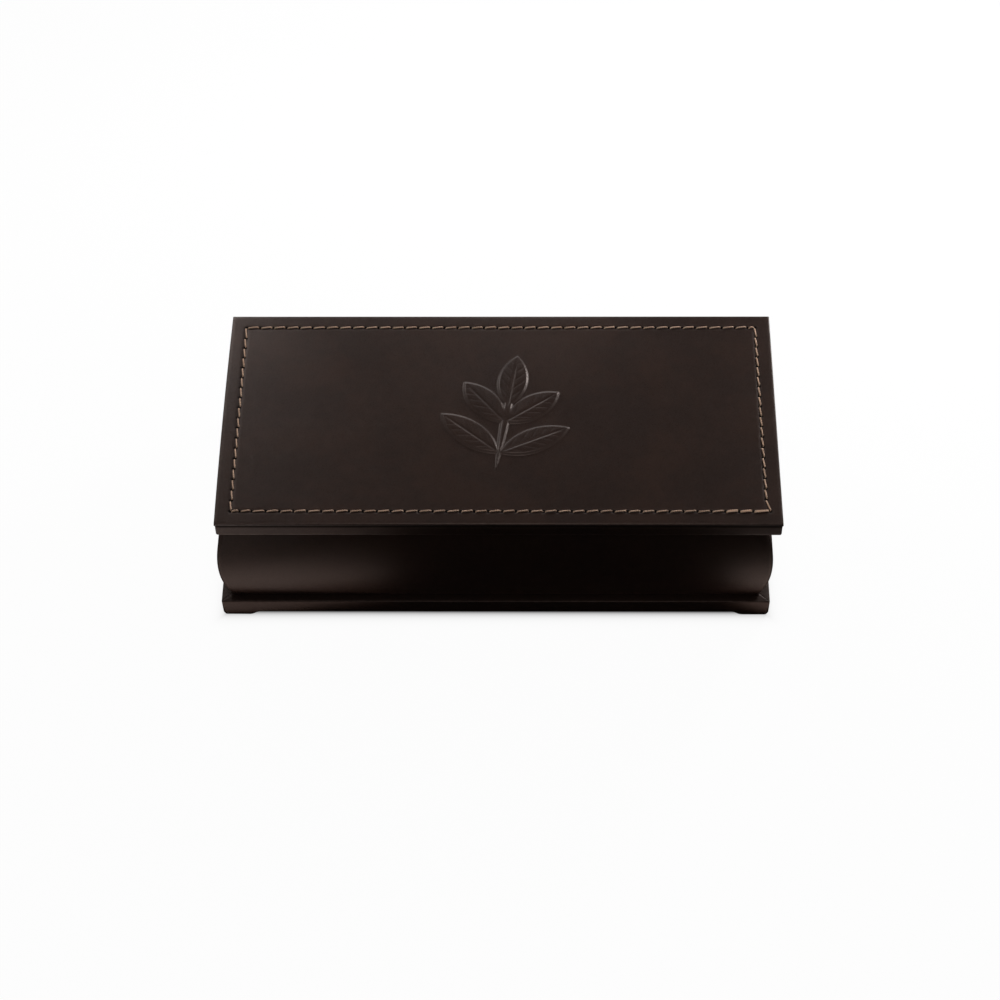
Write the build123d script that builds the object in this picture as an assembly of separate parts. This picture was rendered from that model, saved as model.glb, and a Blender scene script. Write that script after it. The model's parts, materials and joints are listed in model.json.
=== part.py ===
"""Leather-covered trinket box: a bulged case between two wrapped slabs, hinged at the back.

Millimetres, +Z up, +Y towards the back. The origin is on the ground under the middle of the
box, as it stands on its four corner feet with the lid shut.
"""
from math import cos, radians, sqrt
import os

from build123d import *

os.makedirs("parts", exist_ok=True)

# Lid and plinth slabs
slab_width = 221.8
slab_depth = 109.8
slab_corner = 1.8
slab_edge_round = 0.5
lid_lower_round = 0.6
wrap_leather = 1.0
wrap_turn_in = 20.0

# Lid
box_height = 60.3
lid_thickness = 7.4
lid_shift = 1.7
sheet_leather = 1.4
sheet_overhang = 0.3
sheet_corner = 1.0
sheet_edge_round = 0.45

# Plinth
plinth_top = 9.7
foot_drop = 1.9
foot_flat = 10.5
foot_curve = 5.2
felt_thickness = 0.8
felt_margin = 0.5

# Case
bulge_radius = 65.0
bulge_height = 31.0
bulge_inset = 0.5
case_corner = 1.8
rim_round = 0.9
rim_inner_round = 0.6
wall_thickness = 6.0
cover_leather = 1.2
cover_turn_in = 10.0
lid_gap = 0.2

# Lining, floor and the padded liner that drops into the opening
lining_thickness = 2.0
lining_round = 0.8
floor_board_thickness = 3.0
floor_board_clearance = 0.1
floor_foam_thickness = 2.0
suede_thickness = 0.6
pad_round = 1.5
pad_clearance = 0.3
liner_clearance = 1.0
liner_board_thickness = 1.5
liner_foam_thickness = 1.4

# Border stitching
stitch_margin_side = 6.1
stitch_margin_front = 6.5
stitch_pitch = 5.4
stitch_hole = 1.1
stitch_slant = 9.0
thread_width = 0.8
thread_height = 0.5
stitch_groove_width = 1.8
stitch_groove_depth = 0.35

# Raised leaf sprig, measured from the middle of the lid
sprig_x = 3.0
sprig_y = 3.0
sprig_tilt = -8.0
sprig_relief = 0.9
sprig_taper = 30.0
filler_inset = 0.7
stem_length = 60.0
stem_width = 3.6
leaf_width = 12.0
top_leaf_length = 28.0
upper_leaf_length = 27.0
lower_leaf_length = 31.0
upper_leaf_height = 24.0
lower_leaf_height = 8.0
upper_leaf_angle = 46.0
lower_leaf_angle = 57.0

# Brass stop hinges
hinge_length = 26.0
hinge_spacing = 120.0
axis_setback = 2.3
barrel_radius = 1.8
pin_radius = 0.9
pin_clearance = 0.05
leaf_thickness = 1.2
leaf_reach = 8.5
middle_knuckle = 9.2
knuckle_gap = 0.2
mortise_clearance = 0.1
barrel_clearance = 0.3
lid_stop_angle = 95.0
stop_clearance = 0.06
screw_from_axis = 5.3
screw_spacing = 17.0
screw_head_radius = 1.5
screw_head_height = 0.8
screw_shank_radius = 0.7
screw_fit = 0.04
screw_slot_width = 0.4
case_screw_length = 8.0
lid_screw_length = 3.6

# Places that follow from the sizes above
case_x = -(lid_shift + sheet_overhang) / 2
lid_x = case_x + lid_shift
lid_bottom = box_height - lid_thickness
sheet_bottom = box_height - sheet_leather
rim_top = lid_bottom - lid_gap
wrapped_width = slab_width - 2 * sheet_overhang
wrapped_depth = slab_depth - 2 * sheet_overhang
ridge = (slab_width - slab_depth) / 2
far = slab_width + box_height

parts = {}


def block(width, depth, low, high, x=0.0, y=0.0):
    """Plain block centred on x and y, from one height to another."""
    return Pos(x, y, (low + high) / 2) * Box(width, depth, high - low)


def side_wedge(side, x):
    """Prism over one side's share of the plan, bounded by the mitre lines of the corners."""
    outlines = {
        "front": ((-ridge, 0), (-ridge - far, -far), (ridge + far, -far), (ridge, 0)),
        "back": ((ridge, 0), (ridge + far, far), (-ridge - far, far), (-ridge, 0)),
        "left": ((-ridge, 0), (-ridge - far, far), (-ridge - far, -far)),
        "right": ((ridge, 0), (ridge + far, -far), (ridge + far, far)),
    }
    return Pos(x, 0, -far) * extrude(Polygon(*outlines[side], align=None), amount=2 * far)


def add_strips(name, ring, x):
    """Cut a closed ring on its mitres into four strips, each a piece of its own."""
    for side in ("front", "back", "left", "right"):
        parts[f"{name}_{side}"] = ring & side_wedge(side, x)


def rounded_slab(width, depth, low, high, corner, lower_round, upper_round):
    """Slab with rounded upright corners, and with its lower and upper edges rounded or left sharp."""
    slab = block(width, depth, low, high)
    if lower_round == corner:
        lower_edges = slab.faces().sort_by(Axis.Z)[0].edges()
        slab = fillet(slab.edges().filter_by(Axis.Z) + lower_edges, corner)
    else:
        slab = fillet(slab.edges().filter_by(Axis.Z), corner)
        if lower_round > 0:
            slab = fillet(slab.faces().sort_by(Axis.Z)[0].edges(), lower_round)
    if upper_round > 0:
        slab = fillet(slab.faces().sort_by(Axis.Z)[-1].edges(), upper_round)
    return slab


def turn_in_opening(low, high):
    """Space inside the turned-in edges of a slab's wrapping leather."""
    return block(wrapped_width - 2 * wrap_turn_in, wrapped_depth - 2 * wrap_turn_in, low, high)


def foot_relief(skin):
    """Space under the plinth between its feet, an S-curve up from each foot on every side."""
    relief = None
    for length, across, plane in (
        (wrapped_width, wrapped_depth, Plane.XZ),
        (wrapped_depth, wrapped_width, Plane.YZ),
    ):
        foot = length / 2 - foot_flat + skin
        middle = foot - foot_curve / 2
        arch = foot - foot_curve
        top = foot_drop + skin
        outline = make_face(
            [
                Line((-foot, -foot_drop), (foot, -foot_drop)),
                Line((foot, -foot_drop), (foot, skin)),
                TangentArc((foot, skin), (middle, (skin + top) / 2), tangent=(-1, 0)),
                TangentArc((arch, top), (middle, (skin + top) / 2), tangent=(1, 0)),
                Line((arch, top), (-arch, top)),
                TangentArc((-arch, top), (-middle, (skin + top) / 2), tangent=(-1, 0)),
                TangentArc((-foot, skin), (-middle, (skin + top) / 2), tangent=(1, 0)),
                Line((-foot, skin), (-foot, -foot_drop)),
            ]
        )
        tunnel = extrude(plane * outline, amount=across, both=True)
        relief = tunnel if relief is None else relief + tunnel
    return relief


def reach(length, height, skin=0.0):
    """Half-length of the case's bulged outside at a height, in the direction of that slab length."""
    radius = bulge_radius - skin
    return length / 2 - bulge_inset - bulge_radius + sqrt(radius**2 - (height - bulge_height) ** 2)


def bulged_block(skin, high):
    """Solid with the case's outside, drawn in by a skin's thickness, with rounded corners."""
    solids = []
    for length, across, plane in (
        (slab_width, slab_depth, Plane.XZ),
        (slab_depth, slab_width, Plane.YZ),
    ):
        foot = reach(length, plinth_top, skin)
        widest = reach(length, bulge_height, skin)
        top = reach(length, high, skin)
        outline = make_face(
            [
                Line((-foot, plinth_top), (foot, plinth_top)),
                ThreePointArc((foot, plinth_top), (widest, bulge_height), (top, high)),
                Line((top, high), (-top, high)),
                ThreePointArc((-top, high), (-widest, bulge_height), (-foot, plinth_top)),
            ]
        )
        solids.append(extrude(plane * outline, amount=across, both=True))
    solid = solids[0] & solids[1]
    corners = solid.edges().filter_by(lambda edge: edge.bounding_box().size.Z > (high - plinth_top) / 2)
    return fillet(corners, case_corner - skin)


def covered_pad(width, depth, low, high, opens_up):
    """Suede skin over the face and sides of a flat pad, and the space left inside it."""
    face = block(width, depth, low, high)
    front = face.faces().sort_by(Axis.Z)[0 if opens_up else -1].edges()
    face = fillet(face.edges().filter_by(Axis.Z) + front, pad_round)
    inner_low = low + suede_thickness if opens_up else low
    inner_high = high if opens_up else high - suede_thickness
    core = block(width - 2 * suede_thickness, depth - 2 * suede_thickness, inner_low, inner_high)
    front = core.faces().sort_by(Axis.Z)[0 if opens_up else -1].edges()
    core = fillet(core.edges().filter_by(Axis.Z) + front, pad_round - suede_thickness)
    return face - core, core


# Hinge axis, behind the back rim and level with the joint between lid and case
axis_y = reach(slab_depth, rim_top) + axis_setback
axis_z = (rim_top + lid_bottom) / 2
hinge_places = {"left": case_x - hinge_spacing / 2, "right": case_x + hinge_spacing / 2}
screw_offsets = (-screw_spacing / 2, screw_spacing / 2)

# Where the lid's square heel comes up against the case leaf with the lid fully open
heel_corner = sqrt(2) * barrel_radius
heel_reach = -heel_corner * cos(radians(-45 - lid_stop_angle))
stop_edge = heel_reach + stop_clearance


def along_x(radius, length, x=0.0):
    """Cylinder on the hinge axis, centred on x."""
    return Pos(x, axis_y, axis_z) * Rot(0, 90, 0) * Cylinder(radius, length)


def screw_profile(head_radius, shank_radius, length, point):
    """Countersunk screw turned about +Z, with its flat head at zero height and its tip below."""
    outline = Polygon(
        (0, 0),
        (head_radius, 0),
        (shank_radius, -screw_head_height),
        (shank_radius, point - length),
        (0, -length),
        align=None,
    )
    return revolve(Plane.XZ * outline, Axis.Z)


def screws(length, face_z, upwards, extra=0.0):
    """Both screws of one leaf, about x = 0; extra widens them into the holes that they need."""
    solid = screw_profile(screw_head_radius + extra, screw_shank_radius + extra, length + extra, screw_shank_radius)
    if extra == 0:
        solid -= Box(2 * screw_head_radius, screw_slot_width, screw_slot_width)
    turn = Rot(180, 0, 0) if upwards else Rot(0, 0, 0)
    return [Pos(x, axis_y - screw_from_axis, face_z) * turn * solid for x in screw_offsets]


case_leaf_top = rim_top
lid_leaf_bottom = lid_bottom
side_knuckle = (hinge_length - middle_knuckle) / 2 - knuckle_gap
side_knuckle_x = (hinge_length - side_knuckle) / 2


def leaf_plate(low, high, reach_back):
    """Leaf from its inner edge back to a distance in front of the axis."""
    depth = leaf_reach - reach_back
    return block(hinge_length, depth, low, high, y=axis_y - reach_back - depth / 2)


def case_leaf():
    """Leaf let into the case's rim, with the two outer knuckles of the hinge."""
    low = case_leaf_top - leaf_thickness
    leaf = leaf_plate(low, case_leaf_top, 0.0)
    cut_width = middle_knuckle + 2 * knuckle_gap
    leaf -= block(cut_width, 2 * stop_edge, low - 1, case_leaf_top + 1, y=axis_y)
    for side in (-1, 1):
        leaf += along_x(barrel_radius, side_knuckle, side * side_knuckle_x)
    leaf -= along_x(pin_radius + pin_clearance, hinge_length + 1)
    for hole in screws(case_screw_length, case_leaf_top, False, screw_fit):
        leaf -= hole
    return leaf


def lid_leaf():
    """Leaf let into the lid, with the middle knuckle and the square heel that stops the lid."""
    high = lid_leaf_bottom + leaf_thickness
    leaf = leaf_plate(lid_leaf_bottom, high, barrel_radius + barrel_clearance)
    neck = barrel_radius + barrel_clearance
    leaf += block(middle_knuckle, neck, lid_leaf_bottom, high, y=axis_y - neck / 2)
    leaf += along_x(barrel_radius, middle_knuckle)
    leaf += block(middle_knuckle, barrel_radius, axis_z - barrel_radius, axis_z, y=axis_y + barrel_radius / 2)
    leaf -= along_x(pin_radius + pin_clearance, hinge_length + 1)
    for hole in screws(lid_screw_length, lid_leaf_bottom, True, screw_fit):
        leaf -= hole
    return leaf


def case_mortise():
    """Room in the case for its leaf, for the lid's knuckle and heel, and for the screws."""
    depth = leaf_reach + mortise_clearance
    width = hinge_length + 2 * mortise_clearance
    room = block(width, 2 * depth, case_leaf_top - leaf_thickness, lid_bottom, y=axis_y)
    heel_room = heel_corner + barrel_clearance
    heel_width = middle_knuckle + 2 * barrel_clearance
    heel_depth = stop_edge + barrel_clearance
    room += block(heel_width, 2 * heel_depth, axis_z - heel_room, lid_bottom, y=axis_y)
    for hole in screws(case_screw_length, case_leaf_top, False, screw_fit):
        room += hole
    return room


def lid_mortise():
    """Room in the lid for its leaf, for the whole barrel, and for the screws."""
    depth = leaf_reach + mortise_clearance
    width = hinge_length + 2 * mortise_clearance
    room = block(width, depth, lid_bottom - 1, lid_leaf_bottom + leaf_thickness, y=axis_y - depth / 2)
    neck = barrel_radius + barrel_clearance
    room += block(width, 4 * neck, lid_bottom - 1, axis_z + neck, y=axis_y + neck)
    for hole in screws(lid_screw_length, lid_leaf_bottom, True, screw_fit):
        room += hole
    return room


def build_plinth():
    """Board, foot pads, wrapping leather with mitred corners, and felt underneath."""
    outside = rounded_slab(wrapped_width, wrapped_depth, 0, plinth_top, slab_corner, slab_corner, slab_edge_round)
    outside -= foot_relief(0.0)
    core = rounded_slab(
        wrapped_width - 2 * wrap_leather,
        wrapped_depth - 2 * wrap_leather,
        wrap_leather,
        plinth_top - wrap_leather,
        slab_corner - wrap_leather,
        slab_corner - wrap_leather,
        0.0,
    )
    core -= foot_relief(wrap_leather)
    board_bottom = foot_drop + wrap_leather
    middle = turn_in_opening(board_bottom, plinth_top)
    pads = core & block(far, far, 0, board_bottom)
    board = (core & block(far, far, board_bottom, plinth_top)) + middle
    wrap = outside - core - middle - turn_in_opening(0, board_bottom)
    parts["plinth_board"] = Pos(case_x, 0, 0) * board
    parts["foot_pads"] = Pos(case_x, 0, 0) * pads
    add_strips("plinth_wrap", Pos(case_x, 0, 0) * wrap, case_x)
    felt_width = wrapped_width - 2 * (wrap_turn_in + felt_margin)
    felt_depth = wrapped_depth - 2 * (wrap_turn_in + felt_margin)
    felt = block(felt_width, felt_depth, board_bottom - felt_thickness, board_bottom, x=case_x)
    parts["underside_felt"] = felt


def build_case():
    """Wooden mouldings, their leather covers, suede linings and the floor."""
    inner_width = 2 * (reach(slab_width, rim_top, cover_leather) - wall_thickness)
    inner_depth = 2 * (reach(slab_depth, rim_top, cover_leather) - wall_thickness)
    open_width = inner_width - 2 * cover_leather
    open_depth = inner_depth - 2 * cover_leather

    wood = bulged_block(cover_leather, rim_top - cover_leather)
    outside = bulged_block(0.0, rim_top)
    outside = fillet(outside.faces().sort_by(Axis.Z)[-1].edges(), rim_round)
    turned = block(inner_width, inner_depth, rim_top - cover_turn_in, rim_top)
    cover = (outside - wood) + (turned & block(inner_width, inner_depth, 0, rim_top - cover_leather))
    cover -= block(open_width, open_depth, 0, box_height)
    mouth = cover.edges().filter_by(
        lambda edge: abs(edge.center().Z - rim_top) < 0.01
        and abs(edge.center().X) < open_width / 2 + 0.01
        and abs(edge.center().Y) < open_depth / 2 + 0.01
    )
    cover = fillet(mouth, rim_inner_round)
    wood -= block(inner_width, inner_depth, 0, box_height)
    cover = Pos(case_x, 0, 0) * cover
    wood = Pos(case_x, 0, 0) * wood
    for x in hinge_places.values():
        cover -= Pos(x, 0, 0) * case_mortise()
        wood -= Pos(x, 0, 0) * case_mortise()
    add_strips("wall", wood, case_x)
    add_strips("cover", cover, case_x)

    floor = plinth_top + floor_board_thickness
    board_width = inner_width - 2 * floor_board_clearance
    board_depth = inner_depth - 2 * floor_board_clearance
    parts["floor_board"] = block(board_width, board_depth, plinth_top, floor, x=case_x)

    lining = block(inner_width, inner_depth, floor, rim_top - cover_turn_in)
    lined_width = inner_width - 2 * lining_thickness
    lined_depth = inner_depth - 2 * lining_thickness
    lining -= block(lined_width, lined_depth, 0, box_height)
    top_edges = lining.faces().sort_by(Axis.Z)[-1].inner_wires()[0].edges()
    lining = fillet(top_edges, lining_round)
    add_strips("lining", Pos(case_x, 0, 0) * lining, case_x)

    skin, foam = covered_pad(
        lined_width - 2 * pad_clearance,
        lined_depth - 2 * pad_clearance,
        floor,
        floor + floor_foam_thickness + suede_thickness,
        False,
    )
    parts["floor_foam"] = Pos(case_x, 0, 0) * foam
    parts["floor_lining"] = Pos(case_x, 0, 0) * skin
    return open_width, open_depth


def build_lid(open_width, open_depth):
    """Board, wrapping leather, and the padded liner that locates the lid in the opening."""
    outside = rounded_slab(
        wrapped_width,
        wrapped_depth,
        lid_bottom,
        sheet_bottom,
        slab_corner,
        lid_lower_round,
        slab_edge_round,
    )
    core = rounded_slab(
        wrapped_width - 2 * wrap_leather,
        wrapped_depth - 2 * wrap_leather,
        lid_bottom + wrap_leather,
        sheet_bottom - wrap_leather,
        slab_corner - wrap_leather,
        0.0,
        0.0,
    )
    board = core + turn_in_opening(lid_bottom, sheet_bottom)
    wrap = Pos(lid_x, 0, 0) * (outside - board)
    board = Pos(lid_x, 0, 0) * board
    for x in hinge_places.values():
        wrap -= Pos(x, 0, 0) * lid_mortise()
        board -= Pos(x, 0, 0) * lid_mortise()
    parts["lid_board"] = board
    add_strips("lid_wrap", wrap, lid_x)

    liner_bottom = lid_bottom - liner_board_thickness - liner_foam_thickness - suede_thickness
    skin, core = covered_pad(
        open_width - 2 * liner_clearance,
        open_depth - 2 * liner_clearance,
        liner_bottom,
        lid_bottom,
        True,
    )
    seam = lid_bottom - liner_board_thickness
    parts["liner_board"] = Pos(case_x, 0, 0) * (core & block(far, far, seam, lid_bottom))
    parts["liner_foam"] = Pos(case_x, 0, 0) * (core & block(far, far, 0, seam))
    parts["lid_liner"] = Pos(case_x, 0, 0) * skin


def leaf_outline(length, width, inset):
    """Pointed leaf between two arcs, from its base at the origin up to its tip."""
    radius = (length**2 + width**2) / (4 * width)
    half_width = width / 2 - inset
    half_length = sqrt((radius - inset) ** 2 - (radius - width / 2) ** 2)
    base = (0, length / 2 - half_length)
    tip = (0, length / 2 + half_length)
    return make_face(
        [
            ThreePointArc(base, (half_width, length / 2), tip),
            ThreePointArc(tip, (-half_width, length / 2), base),
        ]
    )


def sprig_outlines(inset):
    """Stem, end leaf and two pairs of leaves, as faces on the ground plane."""
    stem = Pos(0, -stem_length / 2) * leaf_outline(stem_length, stem_width, inset)
    outlines = [stem, Pos(0, stem_length / 2 - top_leaf_length) * leaf_outline(top_leaf_length, leaf_width, inset)]
    for height, length, angle in (
        (lower_leaf_height, lower_leaf_length, lower_leaf_angle),
        (upper_leaf_height, upper_leaf_length, upper_leaf_angle),
    ):
        for side in (-1, 1):
            place = Pos(0, height - stem_length / 2) * Rot(0, 0, -side * angle)
            outlines.append(place * leaf_outline(length, leaf_width, inset))
    return [Rot(0, 0, sprig_tilt) * outline for outline in outlines]


def sprig(inset, low, height, taper):
    """Sprig raised from a height on the lid."""
    solid = None
    for outline in sprig_outlines(inset):
        petal = extrude(outline, amount=height, taper=taper)
        solid = petal if solid is None else solid + petal
    return Pos(lid_x + sprig_x, sprig_y, low) * solid


def stitch_places():
    """Centre, direction and side of every stitch round the border, in order from front left."""
    half_width = slab_width / 2 - stitch_margin_side
    half_depth = slab_depth / 2 - stitch_margin_front
    places = []
    for length, across, turn in (
        (half_width, half_depth, 0),
        (half_depth, half_width, 90),
        (half_width, half_depth, 180),
        (half_depth, half_width, 270),
    ):
        count = round(2 * length / stitch_pitch)
        pitch = 2 * length / count
        for step in range(count):
            along = -length + (step + 0.5) * pitch
            places.append(Rot(0, 0, turn) * Pos(along, -across, 0))
    return places


def build_lid_top():
    """Top sheet with its raised sprig, the card filler under it and the border stitching."""
    sheet = block(slab_width, slab_depth, sheet_bottom, box_height)
    sheet = fillet(sheet.edges().filter_by(Axis.Z), sheet_corner)
    rims = sheet.faces().sort_by(Axis.Z)
    sheet = fillet(rims[0].edges() + rims[-1].edges(), sheet_edge_round)
    half = stitch_groove_width / 2
    line_width = slab_width - 2 * stitch_margin_side
    line_depth = slab_depth - 2 * stitch_margin_front
    groove_floor = box_height - stitch_groove_depth
    groove = block(line_width + 2 * half, line_depth + 2 * half, groove_floor, box_height + 1)
    groove -= block(line_width - 2 * half, line_depth - 2 * half, 0, far)
    sheet = Pos(lid_x, 0, 0) * (sheet - groove)
    sheet += sprig(0.0, box_height, sprig_relief, sprig_taper)
    filler = sprig(filler_inset, sheet_bottom, sprig_relief, 0.0)
    parts["lid_top_sheet"] = sheet - filler
    parts["sprig_filler"] = filler

    stitch = extrude(SlotOverall(stitch_pitch - stitch_hole, thread_width), amount=thread_height)
    tilted = Pos(lid_x, 0, groove_floor)
    row = [tilted * place * Rot(0, 0, stitch_slant) * stitch for place in stitch_places()]
    parts["border_stitching"] = Compound(children=row)


def build_hinges():
    """Two stop hinges, with the case's and the lid's screws as two groups."""
    case_group = []
    lid_group = []
    for name, x in hinge_places.items():
        parts[f"hinge_{name}_case_leaf"] = Pos(x, 0, 0) * case_leaf()
        parts[f"hinge_{name}_lid_leaf"] = Pos(x, 0, 0) * lid_leaf()
        parts[f"hinge_{name}_pin"] = along_x(pin_radius, hinge_length, x)
        case_group += [Pos(x, 0, 0) * screw for screw in screws(case_screw_length, case_leaf_top, False)]
        lid_group += [Pos(x, 0, 0) * screw for screw in screws(lid_screw_length, lid_leaf_bottom, True)]
    parts["hinge_case_screws"] = Compound(children=case_group)
    parts["hinge_lid_screws"] = Compound(children=lid_group)


build_plinth()
opening = build_case()
build_lid(*opening)
build_lid_top()
build_hinges()

for name, shape in parts.items():
    export_step(shape, f"parts/{name}.step")
    print(name, round(shape.volume, 1))
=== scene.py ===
"""Looks of the leather-covered trinket box, laid out as a Blender add-on and run as a script.

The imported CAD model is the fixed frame. Each operator makes one piece or one group of like
pieces round it, in metres, and takes its place and outer size from the CAD nodes.
"""

import json
from functools import wraps
from math import atan2, cos, pi, radians, sin, sqrt

import bmesh
import bpy
import numpy as np
from bpy.props import FloatProperty, FloatVectorProperty, IntProperty, PointerProperty
from mathutils import Matrix, Vector


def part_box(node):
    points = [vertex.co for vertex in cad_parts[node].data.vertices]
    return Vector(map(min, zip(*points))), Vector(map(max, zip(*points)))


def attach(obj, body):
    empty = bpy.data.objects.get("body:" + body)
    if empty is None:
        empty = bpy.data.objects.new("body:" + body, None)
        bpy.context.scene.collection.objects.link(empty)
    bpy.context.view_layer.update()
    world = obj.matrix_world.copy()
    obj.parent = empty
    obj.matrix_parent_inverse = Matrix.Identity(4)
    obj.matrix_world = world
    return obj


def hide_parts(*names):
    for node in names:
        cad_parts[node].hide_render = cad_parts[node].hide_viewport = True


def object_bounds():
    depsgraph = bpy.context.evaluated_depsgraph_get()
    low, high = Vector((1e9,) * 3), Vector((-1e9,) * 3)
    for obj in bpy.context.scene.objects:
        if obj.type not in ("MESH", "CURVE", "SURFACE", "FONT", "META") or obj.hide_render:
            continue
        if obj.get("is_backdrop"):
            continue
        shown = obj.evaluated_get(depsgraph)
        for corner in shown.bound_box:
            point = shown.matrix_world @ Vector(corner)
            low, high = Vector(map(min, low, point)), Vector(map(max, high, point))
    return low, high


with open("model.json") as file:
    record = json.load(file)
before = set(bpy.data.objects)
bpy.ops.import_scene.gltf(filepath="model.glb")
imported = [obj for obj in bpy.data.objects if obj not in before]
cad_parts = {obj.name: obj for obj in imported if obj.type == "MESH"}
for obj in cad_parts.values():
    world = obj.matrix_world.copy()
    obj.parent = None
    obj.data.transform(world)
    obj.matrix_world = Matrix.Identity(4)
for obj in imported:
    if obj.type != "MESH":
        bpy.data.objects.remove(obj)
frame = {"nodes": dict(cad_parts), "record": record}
cad_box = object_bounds()

bl_info = {
    "name": "Leather trinket box",
    "version": (1, 0, 0),
    "blender": (4, 5, 0),
    "location": "3D View > Sidebar > Trinket box",
    "description": "Dresses the packed trinket box in leather, suede, thread and brass",
    "category": "Object",
}

mm = 0.001
# Keeps a distance that something is divided by away from nothing
TINY = 1e-9
SIDES = ("front", "right", "back", "left")


def length(name, description, millimetres):
    """Property for a size, given in millimetres and kept in metres."""
    return FloatProperty(
        name=name, description=description, default=millimetres * mm, unit="LENGTH", precision=5
    )


def angular(name, description, default):
    """Property for an angle, in radians."""
    return FloatProperty(name=name, description=description, default=default, subtype="ANGLE")


def share(name, description, default):
    """Property for a plain number without a unit."""
    return FloatProperty(name=name, description=description, default=default, min=0.0, precision=3)


def colour(name, description, default):
    """Property for a colour."""
    return FloatVectorProperty(
        name=name, description=description, subtype="COLOR", default=default, min=0, max=1
    )


class LeatherSettings(bpy.types.PropertyGroup):
    """Finish and thickness of the leathers that cover the box."""

    dark: colour("Dark tone", "Colour of the leather where the dye is deepest", (0.0200, 0.0110, 0.0086))
    warm: colour("Warm tone", "Colour of the cloudy patches in the dye", (0.0290, 0.0150, 0.0108))
    # Lighter tone of wear on edges, which on the top sheet's edge and the sprig's shoulders also stands
    # in as a painted highlight
    wear_and_highlight: colour("Worn tone", "Colour of rubbed edges", (0.0560, 0.0370, 0.0310))
    wrap: length("Wrap thickness", "Leather wrapped round the lid and the plinth", 1.0)
    cover: length("Cover thickness", "Leather glued over the bulged walls", 1.2)
    sheet: length("Sheet thickness", "Stitched top sheet of the lid", 1.4)
    waviness: length("Waviness", "Height of the slow waves in leather glued by hand", 0.05)
    seam_width: length("Seam width", "Width over which a strip dips towards its mitre", 0.28)
    seam_depth: length("Seam depth", "Depth of the dip at a mitre", 0.09)
    grain: length("Grain size", "Size of the pebbles in the grain", 0.42)
    grain_depth: length("Grain depth", "Height of the grain", 0.012)


class SlabSettings(bpy.types.PropertyGroup):
    """Wrapped slabs of the lid and the plinth."""

    corner: length("Corner radius", "Radius of the upright corners at the upper edge", 0.4)
    sheet_corner: length("Sheet's corner radius", "Radius of the top sheet's corners", 0.25)
    sheet_round: length("Sheet's edge radius", "Radius of the top sheet's upper edge", 0.45)
    sheet_bow: length("Sheet's bow", "How far the hand-cut sheet bows out at its left edge", 0.38)
    lid_lower_round: length("Lid's lower edge radius", "Radius of the lid's lower edges", 0.6)
    plinth_lower_round: length("Plinth's lower edge radius", "Radius of the plinth's lower edges", 1.8)
    upper_round: length("Upper edge radius", "Radius of the upper edges", 0.5)
    turn_in: length("Turn-in", "How far the wrap goes in over the board", 20.0)
    foot_drop: length("Foot height", "How far the feet stand below the plinth's underside", 1.9)
    foot_flat: length("Foot length", "Flat length of each foot along a side", 10.5)
    foot_curve: length("Foot curve", "Length of the S-curve from a foot to the underside", 5.2)


class CaseSettings(bpy.types.PropertyGroup):
    """Bulged walls of the case."""

    bulge_radius: length("Bulge radius", "Radius of the walls' bulge", 65.0)
    bulge_height: length("Bulge height", "Height of the widest point of the bulge", 31.0)
    corner: length("Corner radius", "Radius of the case's upright corners", 1.8)
    rim_round: length("Rim radius", "Outer radius of the rim", 0.9)
    mouth_round: length("Mouth radius", "Inner radius of the rim", 0.6)
    leaf: length("Leaf thickness", "Thickness of the hinge leaves", 1.2)
    clearance: length("Mortise clearance", "Room round each hinge leaf", 0.1)
    barrel_room: length("Barrel room", "Room round each hinge barrel", 0.3)
    barrel_radius: length("Barrel radius", "Outer radius of the hinge knuckles", 1.8)
    heel_width: length("Heel recess width", "Width of the recess behind each middle knuckle", 9.8)
    heel_reach: length("Heel recess reach", "How far that recess goes in past the hinge's axis", 2.15)
    heel_drop: length("Heel recess depth", "Depth of that recess below the knuckle", 1.05)


class StitchSettings(bpy.types.PropertyGroup):
    """Saddle stitching round the top sheet."""

    margin_side: length("Side margin", "From the sheet's side edges to the stitch line", 6.1)
    margin_front: length("Front margin", "From the sheet's front and back edges to the stitch line", 6.5)
    pitch: length("Pitch", "Distance from hole to hole", 5.4)
    lean: length("Lean", "How far a stitch's ends lie to either side of the line", 0.34)
    strand: length("Strand radius", "Radius of each of the two plies", 0.19)
    twist: length("Twist", "Length of one turn of the twisted plies", 1.7)
    sunk: length("Sunk end", "Length of a stitch deep in the awl hole at either end", 0.45)
    climb: length("Climb", "Length over which a stitch comes up out of its hole", 0.6)
    hole: length("Hole radius", "Half-length of an awl hole along the line", 0.48)
    hole_depth: length("Hole depth", "Depth of an awl hole", 0.5)
    groove_width: length("Groove width", "Half-width of the channel pressed by the thread", 0.85)
    groove_depth: length("Groove depth", "Depth of the channel pressed by the thread", 0.16)
    thread: colour("Thread", "Colour of the waxed thread", (0.720, 0.490, 0.350))


class SprigSettings(bpy.types.PropertyGroup):
    """Leaf sprig raised in the middle of the lid."""

    place_x: length("Place in x", "Middle of the sprig, to the right of the lid's middle", 3.0)
    place_y: length("Place in y", "Middle of the sprig, behind the lid's middle", 3.0)
    tilt: angular("Tilt", "Lean of the stem", radians(-8))
    relief: length("Relief", "Height of the sprig above the sheet", 0.87)
    shoulder: length("Shoulder", "Width of the leather's slope down from the sprig's edge", 1.35)
    crown: share("Crown", "Share of the relief that rises towards the middle of a leaf", 0.18)
    stem_length: length("Stem length", "Length of the stem with its end leaf", 60.0)
    stem_width: length("Stem width", "Widest part of the stem", 3.6)
    leaf_width: length("Leaf width", "Widest part of a leaf", 12.0)
    vein_depth: length("Vein depth", "Depth of the creased middle vein", 0.26)


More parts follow.
